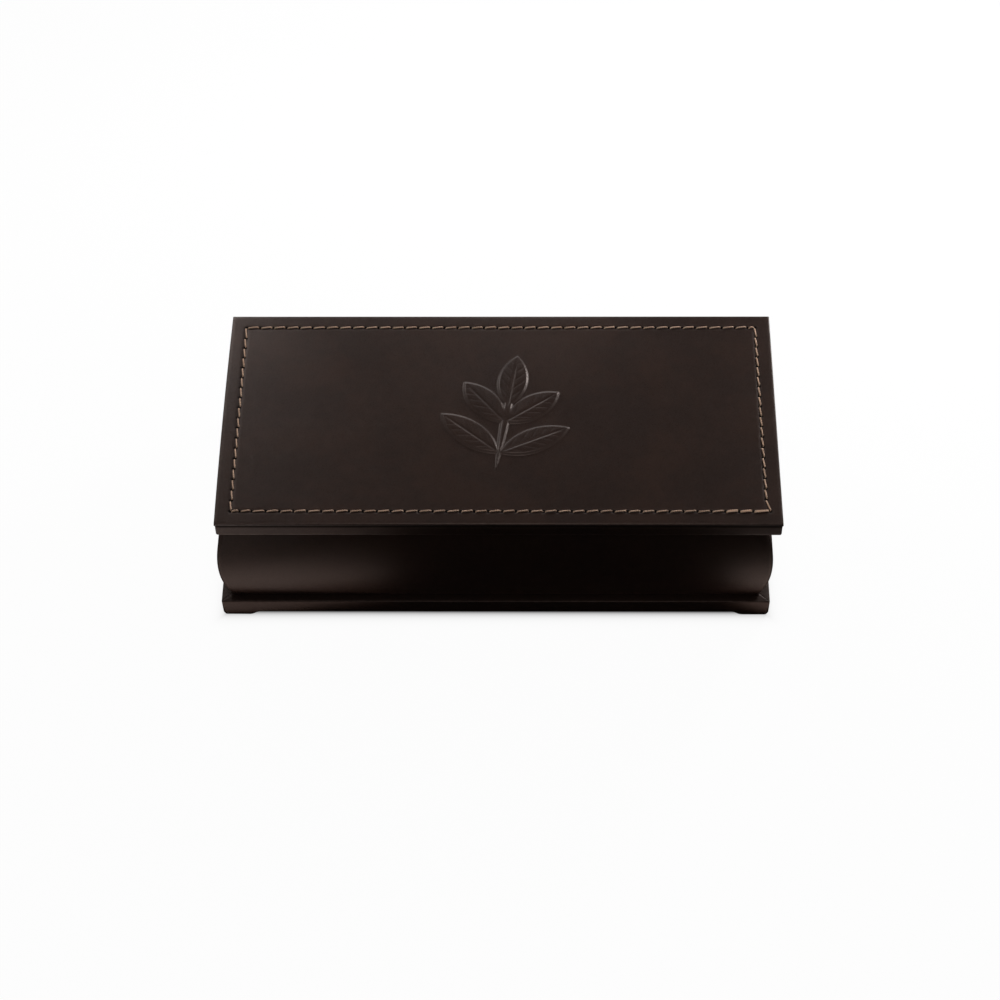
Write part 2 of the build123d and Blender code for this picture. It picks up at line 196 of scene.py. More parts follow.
class LiningSettings(bpy.types.PropertyGroup):
    """Suede inside the box and felt under it."""

    panel: length("Panel thickness", "Card panel with suede glued round it", 2.0)
    panel_round: length("Panel edge radius", "Radius of the panels' upper edge", 0.8)
    pad_round: length("Pad edge radius", "Radius of the pads' edges", 1.3)
    pad_crown: length("Pad crown", "How far the pads rise towards their middle", 0.55)
    suede: colour("Suede", "Colour of the suede", (0.540, 0.360, 0.225))
    felt: colour("Felt", "Colour of the felt underneath", (0.050, 0.036, 0.030))


class HardwareSettings(bpy.types.PropertyGroup):
    """Finishes of the hinges and of the hidden cores."""

    brass: colour("Brass", "Colour of the hinges", (0.780, 0.560, 0.260))
    wood: colour("Wood", "Colour of the plywood and wall mouldings", (0.480, 0.330, 0.190))
    card: colour("Card", "Colour of the grey card", (0.330, 0.310, 0.280))
    foam: colour("Foam", "Colour of the foam", (0.780, 0.740, 0.620))


class StudioSettings(bpy.types.PropertyGroup):
    """Camera, floor, room and black cards."""

    aim: FloatVectorProperty(
        name="Aim", description="Point that the camera looks at", subtype="TRANSLATION", size=3,
        default=(0.7529 * mm, -18.3628 * mm, 30 * mm),
    )
    distance: length("Camera distance", "From the camera to its aim", 1110.38)
    pitch: angular("Pitch", "Camera's angle below level", 0.8933)
    yaw: angular("Yaw", "Camera's turn about the vertical", 0.0221)
    roll: angular("Roll", "Camera's lean", -0.0167)
    lens: share("Lens", "Focal length on a 36 mm wide sensor", 98.52)
    floor_radius: length("Floor radius", "Radius of the round floor", 4000.0)
    fade_from: length("Fade start", "Radius at which the floor starts to turn plain white", 300.0)
    fade_to: length("Fade end", "Radius from which the floor is plain white", 650.0)
    floor_white: share("Floor white", "Reflectance of the floor as the camera sees it", 0.94)
    floor_plain: share("Plain share", "Share of plain white in the floor, to thin the shadow", 0.97)
    shadow_reach: length("Shadow reach", "Distance over which the box's shadow thins out", 1.5)
    shadow_start: length("Shadow start", "Where that starts, inside the plinth's edge", 2.3)
    floor_bounce: share("Floor bounce", "Reflectance of the floor as it lights the box", 0.045)
    fill: share("Fill", "Light from the white room all round", 0.06)
    card_width: length("Card width", "Width of each black card", 2400.0)
    card_distance: length("Card distance", "From the box's middle to each card's lower edge", 1100.0)
    back_card_foot: length("Back card's foot", "Height of the back card's lower edge", 350.0)
    back_card_height: length("Back card's height", "Length of the back card up its slope", 1500.0)
    back_card_lean: angular("Back card's lean", "How far the back card leans to the box", 0.6)
    front_card_height: length("Front card's height", "Height of the card before the box", 460.0)
    seed: IntProperty(name="Seed", description="Seed of every small irregularity", default=11)


SETTINGS = {
    "leather": LeatherSettings,
    "slabs": SlabSettings,
    "case": CaseSettings,
    "stitching": StitchSettings,
    "sprig": SprigSettings,
    "lining": LiningSettings,
    "hardware": HardwareSettings,
    "studio": StudioSettings,
}


# Steps from the studio's seed to the first seed of each group of pieces
SEED_STEPS = {"felt": -4, "wraps": 0, "covers": 10, "sheet": 20, "thread": 30, "linings": 40, "pads": 50}


def settings(name):
    """One of the scene's groups of settings."""
    return getattr(bpy.context.scene, f"trinket_box_{name}")


def first_seed(group):
    """First seed of a group of pieces."""
    return settings("studio").seed + SEED_STEPS[group]


# Node trees


class Graph:
    """Adds linked nodes to the tree of a material, a world or a node group."""

    def __init__(self, tree):
        self.tree = tree

    def node(self, kind, inputs=None, **options):
        """A node with its options set and its inputs fed with values or with other sockets."""
        node = self.tree.nodes.new(kind)
        node.location = (220 * (len(self.tree.nodes) - 1), 0)
        for name, value in options.items():
            setattr(node, name, value)
        for name, value in (inputs or {}).items():
            self.feed(node.inputs[name], value)
        return node

    def feed(self, socket, value):
        """Link a socket to another one, or set its value."""
        if isinstance(value, bpy.types.NodeSocket):
            self.tree.links.new(value, socket)
        elif socket.type == "RGBA":
            socket.default_value = (*value, 1.0)
        else:
            socket.default_value = value

    def math(self, operation, first, second=0.0):
        """Result of a math node."""
        return self.node("ShaderNodeMath", {0: first, 1: second}, operation=operation).outputs[0]

    def times(self, first, second):
        """Product of two values."""
        return self.math("MULTIPLY", first, second)

    def plus(self, first, second):
        """Sum of two values."""
        return self.math("ADD", first, second)

    def ramp(self, value, low, high, to_low=0.0, to_high=1.0):
        """Value mapped smoothly from one range to another."""
        inputs = {"Value": value, "From Min": low, "From Max": high, "To Min": to_low, "To Max": to_high}
        return self.node("ShaderNodeMapRange", inputs, interpolation_type="SMOOTHSTEP").outputs[0]

    def mix(self, factor, first, second):
        """Blend of two colours."""
        node = self.node("ShaderNodeMix", {0: factor, 6: first, 7: second}, data_type="RGBA")
        return node.outputs[2]

    def noise(self, vector, size, detail=3.0, distortion=0.0):
        """Noise whose features have a size in metres."""
        scale = self.math("DIVIDE", 1.0, size) if isinstance(size, bpy.types.NodeSocket) else 1.0 / size
        inputs = {"Vector": vector, "Scale": scale, "Detail": detail, "Distortion": distortion}
        return self.node("ShaderNodeTexNoise", inputs).outputs[0]

    def place(self):
        """Place on the piece, in metres."""
        return self.node("ShaderNodeTexCoord").outputs["Object"]

    def attribute(self, name):
        """Value that the mesh code wrote on the piece."""
        return self.node("ShaderNodeAttribute", attribute_name=name).outputs["Fac"]

    def group(self, name, inputs):
        """Outputs of a shared node group, made at its first use, with this material's own values."""
        if name not in bpy.data.node_groups:
            GROUP_MAKERS[name](name)
        node = self.node("ShaderNodeGroup", node_tree=bpy.data.node_groups[name])
        for socket, value in inputs.items():
            self.feed(node.inputs[socket], value)
        return node.outputs


def blank_graph(owner):
    """Graph of the emptied node tree of a material or a world."""
    owner.use_nodes = True
    owner.node_tree.nodes.clear()
    return Graph(owner.node_tree)


def shader_group(name, inputs, outputs):
    """New node group with named number sockets: its graph, its inputs and its outputs."""
    tree = bpy.data.node_groups.new(name, "ShaderNodeTree")
    for socket, default in inputs.items():
        item = tree.interface.new_socket(socket, in_out="INPUT", socket_type="NodeSocketFloat")
        item.default_value = default
    for socket in outputs:
        tree.interface.new_socket(socket, in_out="OUTPUT", socket_type="NodeSocketFloat")
    graph = Graph(tree)
    return graph, graph.node("NodeGroupInput").outputs, graph.node("NodeGroupOutput").inputs


def make_grain_group(name):
    """Pebbled grain with fine creases, as a height and a mask of the valleys between pebbles."""
    graph, inputs, outputs = shader_group(name, {"Size": 0.4 * mm}, ("Height", "Valleys"))
    place = graph.place()
    scale = graph.math("DIVIDE", 1.0, inputs["Size"])
    cell_inputs = {"Vector": place, "Scale": scale}
    cells = graph.node("ShaderNodeTexVoronoi", cell_inputs, feature="DISTANCE_TO_EDGE")
    pebbles = graph.ramp(cells.outputs["Distance"], 0.0, 0.32)
    # Sizes against the pebbles, and the fine part's share of the height
    coarse_size, fine_size, fine_share = 7.0, 0.5, 0.35
    coarse = graph.noise(place, graph.times(inputs["Size"], coarse_size), detail=4.0, distortion=0.6)
    fine = graph.noise(place, graph.times(inputs["Size"], fine_size), detail=2.0)
    creased = graph.times(pebbles, graph.ramp(coarse, 0.35, 0.65, to_low=0.45))
    height = graph.plus(creased, graph.times(fine, fine_share))
    graph.feed(outputs["Height"], graph.plus(height, coarse))
    graph.feed(outputs["Valleys"], graph.math("SUBTRACT", 1.0, pebbles))


def make_cloud_group(name):
    """Cloudy unevenness of a dye or a tarnish, broken up at two scales."""
    graph, inputs, outputs = shader_group(name, {"Size": 30 * mm, "Contrast": 0.2}, ("Mask",))
    place = graph.place()
    small_size, small_share = 0.12, 0.3
    broad = graph.noise(place, inputs["Size"], detail=2.0, distortion=0.4)
    small = graph.noise(place, graph.times(inputs["Size"], small_size))
    mixed = graph.plus(graph.times(broad, 1 - small_share), graph.times(small, small_share))
    low = graph.math("SUBTRACT", 0.5, inputs["Contrast"])
    high = graph.plus(0.5, inputs["Contrast"])
    graph.feed(outputs["Mask"], graph.ramp(mixed, low, high))


def make_wear_and_highlight_group(name):
    """Rubbed edges, from the mesh's own edge values broken up by noise; on the top sheet these values
    also paint a highlight along its edge and on the sprig's shoulders.
    """
    graph, inputs, outputs = shader_group(name, {"Amount": 0.5, "Break Size": 2 * mm}, ("Mask",))
    rubbing = graph.noise(graph.place(), inputs["Break Size"], detail=4.0)
    breaks = graph.ramp(rubbing, 0.35, 0.7, to_low=0.25)
    edge = graph.times(graph.attribute("edge"), breaks)
    graph.feed(outputs["Mask"], graph.times(edge, inputs["Amount"]))


def make_nap_group(name):
    """Nap of suede or felt: lighter and darker strokes, and the height of its fibres."""
    sizes = {"Fibre Size": 0.25 * mm, "Stroke Size": 16 * mm}
    graph, inputs, outputs = shader_group(name, sizes, ("Shade", "Height"))
    place = graph.place()
    clump_size, clump_share, stroke_share = 6.0, 0.5, 0.45
    brushed = graph.noise(place, inputs["Stroke Size"], distortion=0.4)
    strokes = graph.ramp(brushed, 0.3, 0.7)
    clumps = graph.noise(place, graph.times(inputs["Fibre Size"], clump_size), distortion=0.5)
    fibres = graph.noise(place, inputs["Fibre Size"], distortion=1.5)
    tufts = graph.plus(graph.times(clumps, clump_share), graph.times(fibres, 1 - clump_share))
    shade = graph.plus(graph.times(strokes, stroke_share), graph.times(tufts, 1 - stroke_share))
    graph.feed(outputs["Shade"], shade)
    graph.feed(outputs["Height"], tufts)


GROUP_MAKERS = {
    "Leather grain": make_grain_group,
    "Cloudiness": make_cloud_group,
    "Edge wear": make_wear_and_highlight_group,
    "Nap": make_nap_group,
}


# Materials


def finish(draw):
    """Turn a function that draws nodes into one that gives a material, drawn at its first use."""

    @wraps(draw)
    def material_called(name, **values):
        if name in bpy.data.materials:
            return bpy.data.materials[name]
        material = bpy.data.materials.new(name)
        graph = blank_graph(material)
        shader = graph.node("ShaderNodeBsdfPrincipled")
        draw(graph, shader, **values)
        graph.node("ShaderNodeOutputMaterial", {"Surface": shader.outputs[0]})
        return material

    return material_called


def dress(shader, graph, base, roughness, height=None, depth=0.0, **constants):
    """Feed a Principled shader its colour, roughness and bump, and set its plain values."""
    graph.feed(shader.inputs["Base Color"], base)
    graph.feed(shader.inputs["Roughness"], roughness)
    if height is not None:
        bump = graph.node("ShaderNodeBump", {"Height": height, "Distance": depth})
        graph.feed(shader.inputs["Normal"], bump.outputs[0])
    for name, value in constants.items():
        graph.feed(shader.inputs[name.replace("_", " ")], value)


@finish
def leather(graph, shader, polish=0.27, wear=0.7):
    """Dark brown calf: cloudy dye, fine grain, rubbed edges that on the top sheet also stand in as
    painted highlight, and painted shade in the awl holes, along the stitch groove and under the sheet's
    edge.
    """
    look = settings("leather")
    cloud = graph.group("Cloudiness", {"Size": 34 * mm, "Contrast": 0.16})["Mask"]
    grain = graph.group("Leather grain", {"Size": look.grain})
    wear_and_highlight = graph.group("Edge wear", {"Amount": wear, "Break Size": 2.5 * mm})["Mask"]
    dye = graph.mix(cloud, look.dark, look.warm)
    dye = graph.mix(wear_and_highlight, dye, look.wear_and_highlight)
    crease_tone, crease_share = (0.004, 0.0025, 0.002), 0.35
    dye = graph.mix(graph.times(grain["Valleys"], crease_share), dye, crease_tone)
    # Near-black painted shade in the awl holes, along the stitch groove and along the wrap under the top
    # sheet; on the sheet's cut edge it is dye and painted shade together
    shade_and_dye_tone = (0.0012, 0.0008, 0.0006)
    dye = graph.mix(graph.attribute("pit"), dye, shade_and_dye_tone)
    # Creases and the places of painted shade and dye are duller than the polished grain, and rubbed
    # edges shine more
    dull_crease, worn_shine, dull_shade_and_dye = 0.12, 0.06, 0.65
    satin = graph.plus(polish, graph.times(grain["Valleys"], dull_crease))
    satin = graph.math("SUBTRACT", satin, graph.times(wear_and_highlight, worn_shine))
    satin = graph.plus(satin, graph.times(graph.attribute("pit"), dull_shade_and_dye))
    dress(
        shader, graph, dye, satin, grain["Height"], look.grain_depth,
        Specular_IOR_Level=0.2, Specular_Tint=(1.0, 0.78, 0.7),
    )


@finish
def suede(graph, shader):
    """Tan suede with a brushed nap."""
    tone = Vector(settings("lining").suede)
    nap = graph.group("Nap", {"Fibre Size": 0.22 * mm, "Stroke Size": 15 * mm})
    dye = graph.mix(nap["Shade"], tone * 0.78, tone * 1.2)
    dress(
        shader, graph, dye, 0.95, nap["Height"], 0.12 * mm,
        Specular_IOR_Level=0.1, Sheen_Weight=0.35, Sheen_Roughness=0.5,
        Sheen_Tint=(0.9, 0.72, 0.55),
    )


@finish
def felt(graph, shader):
    """Brown pressed felt."""
    tone = Vector(settings("lining").felt)
    nap = graph.group("Nap", {"Fibre Size": 0.4 * mm, "Stroke Size": 8 * mm})
    dye = graph.mix(nap["Shade"], tone * 0.5, tone * 1.5)
    dress(
        shader, graph, dye, 1.0, nap["Height"], 0.3 * mm,
        Specular_IOR_Level=0.05, Sheen_Weight=0.3, Sheen_Roughness=0.6,
    )


@finish
def waxed_thread(graph, shader):
    """Tan waxed thread, darker in the valleys between its fibres."""
    tone = Vector(settings("stitching").thread)
    place = graph.place()
    fibres = graph.noise(place, 0.09 * mm)
    handled = graph.ramp(graph.noise(place, 9 * mm), 0.35, 0.7)
    soil_share, soil_tint = 0.35, Vector((0.62, 0.55, 0.5))
    dye = graph.mix(graph.ramp(fibres, 0.3, 0.7), tone * 0.6, tone * 1.25)
    dye = graph.mix(graph.times(handled, soil_share), dye, tone * soil_tint)
    dress(shader, graph, dye, 0.62, fibres, 0.05 * mm, Specular_IOR_Level=0.3)


@finish
def brass(graph, shader):
    """Satin brass with fine brushing and a little tarnish."""
    tone = Vector(settings("hardware").brass)
    tarnish = graph.group("Cloudiness", {"Size": 6 * mm, "Contrast": 0.22})["Mask"]
    tarnish_share, tarnish_tint = 0.4, Vector((0.55, 0.48, 0.4))
    stretched = graph.node("ShaderNodeMapping", {"Vector": graph.place(), "Scale": (0.04, 1.0, 1.0)})
    lines = graph.noise(stretched.outputs[0], 0.12 * mm, detail=2.0)
    base = graph.mix(graph.times(tarnish, tarnish_share), tone, tone * tarnish_tint)
    satin = graph.ramp(lines, 0.3, 0.7, to_low=0.24, to_high=0.38)
    dress(shader, graph, base, satin, lines, 0.006 * mm, Metallic=1.0)


@finish
def wood(graph, shader):
    """Bare plywood and wall mouldings, with long grain."""
    tone = Vector(settings("hardware").wood)
    stretched = graph.node("ShaderNodeMapping", {"Vector": graph.place(), "Scale": (0.06, 1.0, 1.0)})
    rings = graph.noise(stretched.outputs[0], 2.5 * mm, detail=5.0, distortion=0.8)
    pores = graph.noise(stretched.outputs[0], 0.35 * mm, detail=2.0)
    base = graph.mix(graph.ramp(rings, 0.35, 0.65), tone * 0.72, tone * 1.15)
    base = graph.mix(graph.ramp(pores, 0.62, 0.75), base, tone * 0.4)
    dull = graph.ramp(pores, 0.3, 0.7, to_low=0.65, to_high=0.8)
    dress(shader, graph, base, dull, pores, 0.05 * mm)


@finish
def card(graph, shader):
    """Grey pressed card with flecks."""
    tone = Vector(settings("hardware").card)
    flecks = graph.noise(graph.place(), 0.8 * mm, detail=5.0)
    base = graph.mix(graph.ramp(flecks, 0.4, 0.65), tone, tone * 0.6)
    dress(shader, graph, base, 0.9, flecks, 0.04 * mm)


@finish
def foam(graph, shader):
    """Open-cell foam."""
    tone = Vector(settings("hardware").foam)
    cell_size = 0.6 * mm
    cells = graph.node("ShaderNodeTexVoronoi", {"Vector": graph.place(), "Scale": 1 / cell_size})
    pores = cells.outputs["Distance"]
    base = graph.mix(graph.ramp(pores, 0.1, 0.6), tone * 0.55, tone)
    dress(shader, graph, base, 0.95, pores, 0.2 * mm)


# Mesh code


def add_object(name, data):
    """New object in the scene."""
    made = bpy.data.objects.new(name, data)
    bpy.context.scene.collection.objects.link(made)
    return made


def add_piece(name, points, faces, material, body, values=None, sharp=40):
    """New piece from points and faces, smooth up to an angle in degrees, riding on a CAD body."""
    mesh = bpy.data.meshes.new(name)
    mesh.from_pydata(np.asarray(points).tolist(), [], faces)
    for key, data in (values or {}).items():
        layer = mesh.attributes.new(key, "FLOAT", "POINT")
        layer.data.foreach_set("value", np.asarray(data, np.float32).ravel())
    solid = bmesh.new()
    solid.from_mesh(mesh)
    bmesh.ops.recalc_face_normals(solid, faces=solid.faces)
    solid.to_mesh(mesh)
    solid.free()
    mesh.validate()
    mesh.shade_smooth()
    mesh.set_sharp_from_angle(angle=radians(sharp))
    mesh.materials.append(material)
    piece = add_object(name, mesh)
    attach(piece, body)
    return piece


def strip_faces(rows, columns, closed):
    """Quads between neighbouring rows of points, each row open or closed on itself."""
    faces = []
    for row in range(rows - 1):
        for column in range(columns if closed else columns - 1):
            beside = (column + 1) % columns
            first = row * columns
            second = first + columns
            faces.append((first + column, first + beside, second + beside, second + column))
    return faces


def waves(seed, along, around, height, shortest=14 * mm, longest=60 * mm):
    """Slow seeded waves over a surface, as heights."""
    draws = np.random.default_rng(seed)
    total = np.zeros(np.broadcast(along, around).shape)
    count = 6
    for _ in range(count):
        size = draws.uniform(shortest, longest)
        angle = draws.uniform(0, pi)
        phase = draws.uniform(0, 2 * pi)
        total = total + np.sin((along * cos(angle) + around * sin(angle)) * 2 * pi / size + phase)
    return total * height / sqrt(count)


def bend(centre_inset, centre_height, radius, start, end, steps=6):
    """Points of an arc in a strip's cross-section: angle 0 points outwards and 90 degrees up."""
    angles = np.radians(np.linspace(start, end, steps))
    insets = centre_inset - radius * np.cos(angles)
    return np.column_stack((insets, centre_height + radius * np.sin(angles)))


def run(start, end, steps):
    """Points of a straight stretch of a cross-section, without its last point."""
    shares = np.linspace(0, 1, steps, endpoint=False)[:, None]
    return np.asarray(start) * (1 - shares) + np.asarray(end) * shares


def stations(half, corner):
    """Places along a strip from -1 to 1, close together round its corners and feet."""
    look = settings("slabs")
    seam = settings("leather").seam_width
    # Steps over a foot, up its curve and along the middle, and the gaps before the first and the last
    foot_step, curve_step, plain_step = 1.4 * mm, 0.5 * mm, 3 * mm
    past_corner, past_curve = 0.8 * mm, 2 * mm
    quarter = corner * (1 - np.tan(np.radians(np.arange(45, -1, -7.5))))
    foot_end = look.foot_flat + look.foot_curve
    distances = np.concatenate(
        (
            (0, seam / 2, seam),
            quarter[1:],
            np.arange(corner + past_corner, look.foot_flat, foot_step),
            np.arange(look.foot_flat, foot_end + 0.2 * curve_step, curve_step),
            np.arange(foot_end + past_curve, half, plain_step),
            (half,),
        )
    )
    shares = 1 - np.unique(np.round(distances, 6)) / half
    return np.concatenate((-shares, shares[-2::-1]))


class Ring:
    """Rectangular ring of four strips: its middle, its half sizes and the radius of its corners."""

    def __init__(self, prefix, corner):
        boxes = [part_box(f"{prefix}_{side}") for side in SIDES]
        low = [min(box[0][axis] for box in boxes) for axis in range(3)]
        high = [max(box[1][axis] for box in boxes) for axis in range(3)]
        self.middle = (low[0] + high[0]) / 2
        self.half_width = (high[0] - low[0]) / 2
        self.half_depth = (high[1] - low[1]) / 2
        self.low = low[2]
        self.high = high[2]
        self.corner = corner

    def lengths(self, side):
        """Half-length along a side and half-length across it."""
        if side in ("front", "back"):
            return self.half_width, self.half_depth
        return self.half_depth, self.half_width

    def place(self, side, along, across):
        """Plan coordinates from the distance along a side and out from the middle."""
        turned = {
            "front": (along, -across),
            "right": (across, along),
            "back": (-along, across),
            "left": (-across, -along),
        }
        x, y = turned[side]
        return self.middle + x, y


def outward(path):
    """Unit normals of a cross-section's path, pointing out of the strip."""
    slope = np.gradient(path, axis=0)
    normal = np.column_stack((-slope[:, 1], slope[:, 0]))
    normal /= np.linalg.norm(normal, axis=1)[:, None]
    middle = path.mean(axis=0)
    widest = np.argmin(path[:, 0])
    facing = np.sign(np.dot(normal[widest], path[widest] - middle))
    return normal * facing


def rounded_plan(x, y, half_x, half_y, corner):
    """Places of a rectangle about the origin, pulled in so that its corners are round."""
    past_x = np.abs(x) - (half_x - corner)
    past_y = np.abs(y) - (half_y - corner)
    in_corner = (past_x > 0) & (past_y > 0)
    from_centre = np.maximum(np.hypot(past_x, past_y), TINY)
    scale = np.where(in_corner, np.maximum(past_x, past_y) / from_centre, 1.0)
    round_x = np.sign(x) * (half_x - corner + past_x * scale)
    round_y = np.sign(y) * (half_y - corner + past_y * scale)
    return np.where(in_corner, round_x, x), np.where(in_corner, round_y, y)


def mitred_strip(ring, side, outer, inner, centres, edges, seed, lift=None):
    """Points, faces and edge values of one strip of a ring, mitred against its neighbours.

    outer and inner are matching paths of (inset, height) over the two faces of the strip, centres
    is the inset of the corners' centre at each outer point, and edges says where the leather rubs.
    """
    look = settings("leather")
    half_along, half_across = ring.lengths(side)
    shares = stations(half_along, ring.corner)[:, None]
    to_mitre = (1 - np.abs(shares)) * half_along
    girth = np.concatenate(((0,), np.cumsum(np.linalg.norm(np.diff(outer, axis=0), axis=1))))
    dip = look.seam_depth * np.exp(-((to_mitre / look.seam_width) ** 2))
    # The waves fade out towards a mitre, and the leather is rubbed along it
    fade, rubbed_width, rubbed_share = 12 * mm, 1.3 * mm, 0.8
    away = np.clip(to_mitre / fade, 0, 1)
    rise = waves(seed, shares * half_along, girth[None, :], look.waviness) * away - dip
    normal = outward(outer)

    def on_plan(inset, height, centre):
        if lift is not None:
            inset, height = lift(half_along, half_across, shares, inset, height)
        along = shares * (half_along - inset)
        across = half_across - inset + 0 * shares
        x, y = ring.place(side, *rounded_plan(along, across, half_along, half_across, centre))
        return np.stack((x, y, height + 0 * shares), axis=-1)

    face = on_plan(outer[:, 0] + normal[:, 0] * rise, outer[:, 1] + normal[:, 1] * rise, centres)
    back = on_plan(inner[::-1, 0] + 0 * shares, inner[::-1, 1] + 0 * shares, centres[::-1])
    points = np.concatenate((face, back), axis=1)
    rows, columns = points.shape[:2]
    faces = strip_faces(rows, columns, closed=True)
    for row in (0, rows - 1):
        first = row * columns
        last = first + columns - 1
        faces += [(first + k, first + k + 1, last - k - 1, last - k) for k in range(len(outer) - 1)]
    rub = np.maximum(edges[None, :], np.exp(-((to_mitre / rubbed_width) ** 2)) * rubbed_share)
    rub = np.concatenate((rub, np.zeros(back.shape[:2])), axis=1)
    return points.reshape(-1, 3), faces, rub


def strips(ring, skin, seed_group, lift=None):
    """Each side of a ring, with the points, faces and edge values of its strip of one skin."""
    first = first_seed(seed_group)
    for seed, side in enumerate(SIDES, first):
        yield side, *mitred_strip(ring, side, *skin, seed, lift)


def cut_mortises(piece, boxes):
    """Cut boxes, each given by its lowest and highest corner, out of a piece."""
    room = bmesh.new()
    for low, high in boxes:
        middle = Matrix.Translation((Vector(low) + Vector(high)) / 2)
        size = Matrix.Diagonal((*(Vector(high) - Vector(low)), 1.0))
        bmesh.ops.create_cube(room, size=1.0, matrix=middle @ size)
    mesh = bpy.data.meshes.new("mortise_room")
    room.to_mesh(mesh)
    room.free()
    cutter = add_object("mortise_room", mesh)
    cut = piece.modifiers.new("mortises", "BOOLEAN")
    cut.operation = "DIFFERENCE"
    cut.solver = "EXACT"
    cut.use_self = True
    cut.object = cutter
    bpy.context.view_layer.update()
    evaluated = piece.evaluated_get(bpy.context.evaluated_depsgraph_get())
    carved = bpy.data.meshes.new_from_object(evaluated)
    carved.name = piece.name
    piece.modifiers.remove(cut)
    piece.data = carved
    bpy.data.objects.remove(cutter)


def hinge_boxes(kind):
    """Boxes of both hinges' leaves of one kind."""
    return [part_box(f"hinge_{side}_{kind}_leaf") for side in ("left", "right")]


# Slabs

# Smallest radius of a bend on the inner face of the leather
TIGHT_BEND = 0.15 * mm


def slab_skin(ring, thickness, lower):
    """Cross-section of a wrap: over the top, down the side, under the slab, and where shade is painted
    along its upper edge.
    """
    look = settings("slabs")
    top, low, turn_in = ring.high, ring.low, look.turn_in

    def path(inset, upper, under):
        """Path that lies in from the outside, with the radii of its two bends."""
        return np.concatenate(
            (
                run((turn_in, top - inset), (inset + upper, top - inset), steps=10),
                bend(inset + upper, top - inset - upper, upper, 90, 0),
                run((inset, top - inset - upper), (inset, low + inset + under), steps=5)[1:],
                bend(inset + under, low + inset + under, under, 0, -90, steps=9),
                run((inset + under, low + inset), (turn_in, low + inset), steps=14)[1:],
                ((turn_in, low + inset),),
            )
        )

    upper = look.upper_round
    outer = path(0.0, upper, lower)
    inner = path(thickness, TIGHT_BEND, max(lower - thickness, TIGHT_BEND))
    from_top = np.hypot(outer[:, 0], outer[:, 1] - top)
    from_low = np.hypot(outer[:, 0], outer[:, 1] - low)
    rubbed_width, under_sheet_shade_width = 1.0 * mm, 0.9 * mm
    edges = np.exp(-((np.minimum(from_top, from_low) / rubbed_width) ** 2))
    widened = (max(look.corner, lower), look.corner)
    centres = np.interp(outer[:, 1], (low + lower, top - upper), widened)
    # Painted shade along the upper edge, in the seam under the top sheet's overhang
    under_sheet_shade = np.exp(-((from_top / under_sheet_shade_width) ** 2))
    return outer, inner, centres, edges, under_sheet_shade


def foot_lift(half_along, half_across, shares, inset, height):
    """Underside of the plinth: flat feet at the corners and an S-curve up from each."""
    look = settings("slabs")
    half_curve = look.foot_curve / 2
    bow = (half_curve**2 + (look.foot_drop / 2) ** 2) / look.foot_drop

    def climb(from_end):
        start = np.clip(from_end - look.foot_flat, 0, look.foot_curve)
        rising = bow - np.sqrt(bow**2 - np.minimum(start, half_curve) ** 2)
        easing = bow - np.sqrt(bow**2 - np.minimum(look.foot_curve - start, half_curve) ** 2)
        return np.where(start < half_curve, rising, look.foot_drop - easing)

    along = np.abs(shares) * (half_along - inset)
    across = half_across - inset + 0 * shares
    lift = np.maximum(climb(half_along - along), climb(half_across - across))
    # Height at which the side is straight again
    straight = 5 * mm
    above_round = (height - look.plinth_lower_round) / (straight - look.plinth_lower_round)
    return inset, height + lift * (1 - np.clip(above_round, 0, 1))


def wrap_slab(prefix, body, lower_round, covered, lift=None):
    """Four mitred strips of leather round a slab, with painted shade along an upper edge that a sheet
    covers.
    """
    look = settings("leather")
    ring = Ring(prefix, settings("slabs").plinth_lower_round)
    outer, inner, centres, edges, under_sheet_shade = slab_skin(ring, look.wrap, lower_round)
    if covered:
        edges = edges * (1 - under_sheet_shade)
    material = leather("wrap_calf", polish=0.42, wear=0.75)
    pieces = {}
    for side, points, faces, rub in strips(ring, (outer, inner, centres, edges), "wraps", lift):
        # No wave goes below the slab or past the CAD's left end
        points[:, 2] = np.maximum(points[:, 2], ring.low)
        points[:, 0] = np.maximum(points[:, 0], cad_box[0].x)
        name = f"{prefix}_{side}_leather"
        values = {"edge": rub}
        # Painted shade in the seam along the covered upper edge
        if covered:
            across = np.concatenate((under_sheet_shade, 0 * under_sheet_shade))
            values["pit"] = np.tile(across, len(points) // len(across))
        piece = add_piece(name, points, faces, material, body, values)
        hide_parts(f"{prefix}_{side}")
        pieces[side] = piece
    return pieces


class TRINKET_OT_lid_wrap(bpy.types.Operator):
    """Wrap the lid's edge in leather, with mortises for the hinges"""

    bl_idname = "trinket_box.lid_wrap"
    bl_label = "Wrap the lid"

    def execute(self, context):
        look = settings("case")
        pieces = wrap_slab("lid_wrap", "lid", settings("slabs").lid_lower_round, covered=True)
        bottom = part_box("lid_wrap_back")[0].z
        below = bottom - mm
        neck = look.barrel_radius + look.barrel_room
        barrel_top = (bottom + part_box("cover_back")[1].z) / 2 + neck
        rooms = []
        for low, high in hinge_boxes("lid"):
            axis = high.y - look.barrel_radius
            past_back = axis + 3 * neck
            left, right = low.x - look.clearance, high.x + look.clearance
            leaf_room = ((left, low.y - look.clearance, below), (right, axis, bottom + look.leaf))
            barrel_room = ((left, axis - neck, below), (right, past_back, barrel_top))
            rooms += [leaf_room, barrel_room]
        cut_mortises(pieces["back"], rooms)
        return {"FINISHED"}


class TRINKET_OT_plinth_wrap(bpy.types.Operator):
    """Wrap the plinth in leather, down over its four corner feet"""

    bl_idname = "trinket_box.plinth_wrap"
    bl_label = "Wrap the plinth"

    def execute(self, context):
        lower_round = settings("slabs").plinth_lower_round
        wrap_slab("plinth_wrap", "case", lower_round, covered=False, lift=foot_lift)
        return {"FINISHED"}


# Case


def bulge_inset(height, radius):
    """Inset of the bulged wall at a height, from its widest line."""
    look = settings("case")
    return look.bulge_radius - np.sqrt(radius**2 - (height - look.bulge_height) ** 2)


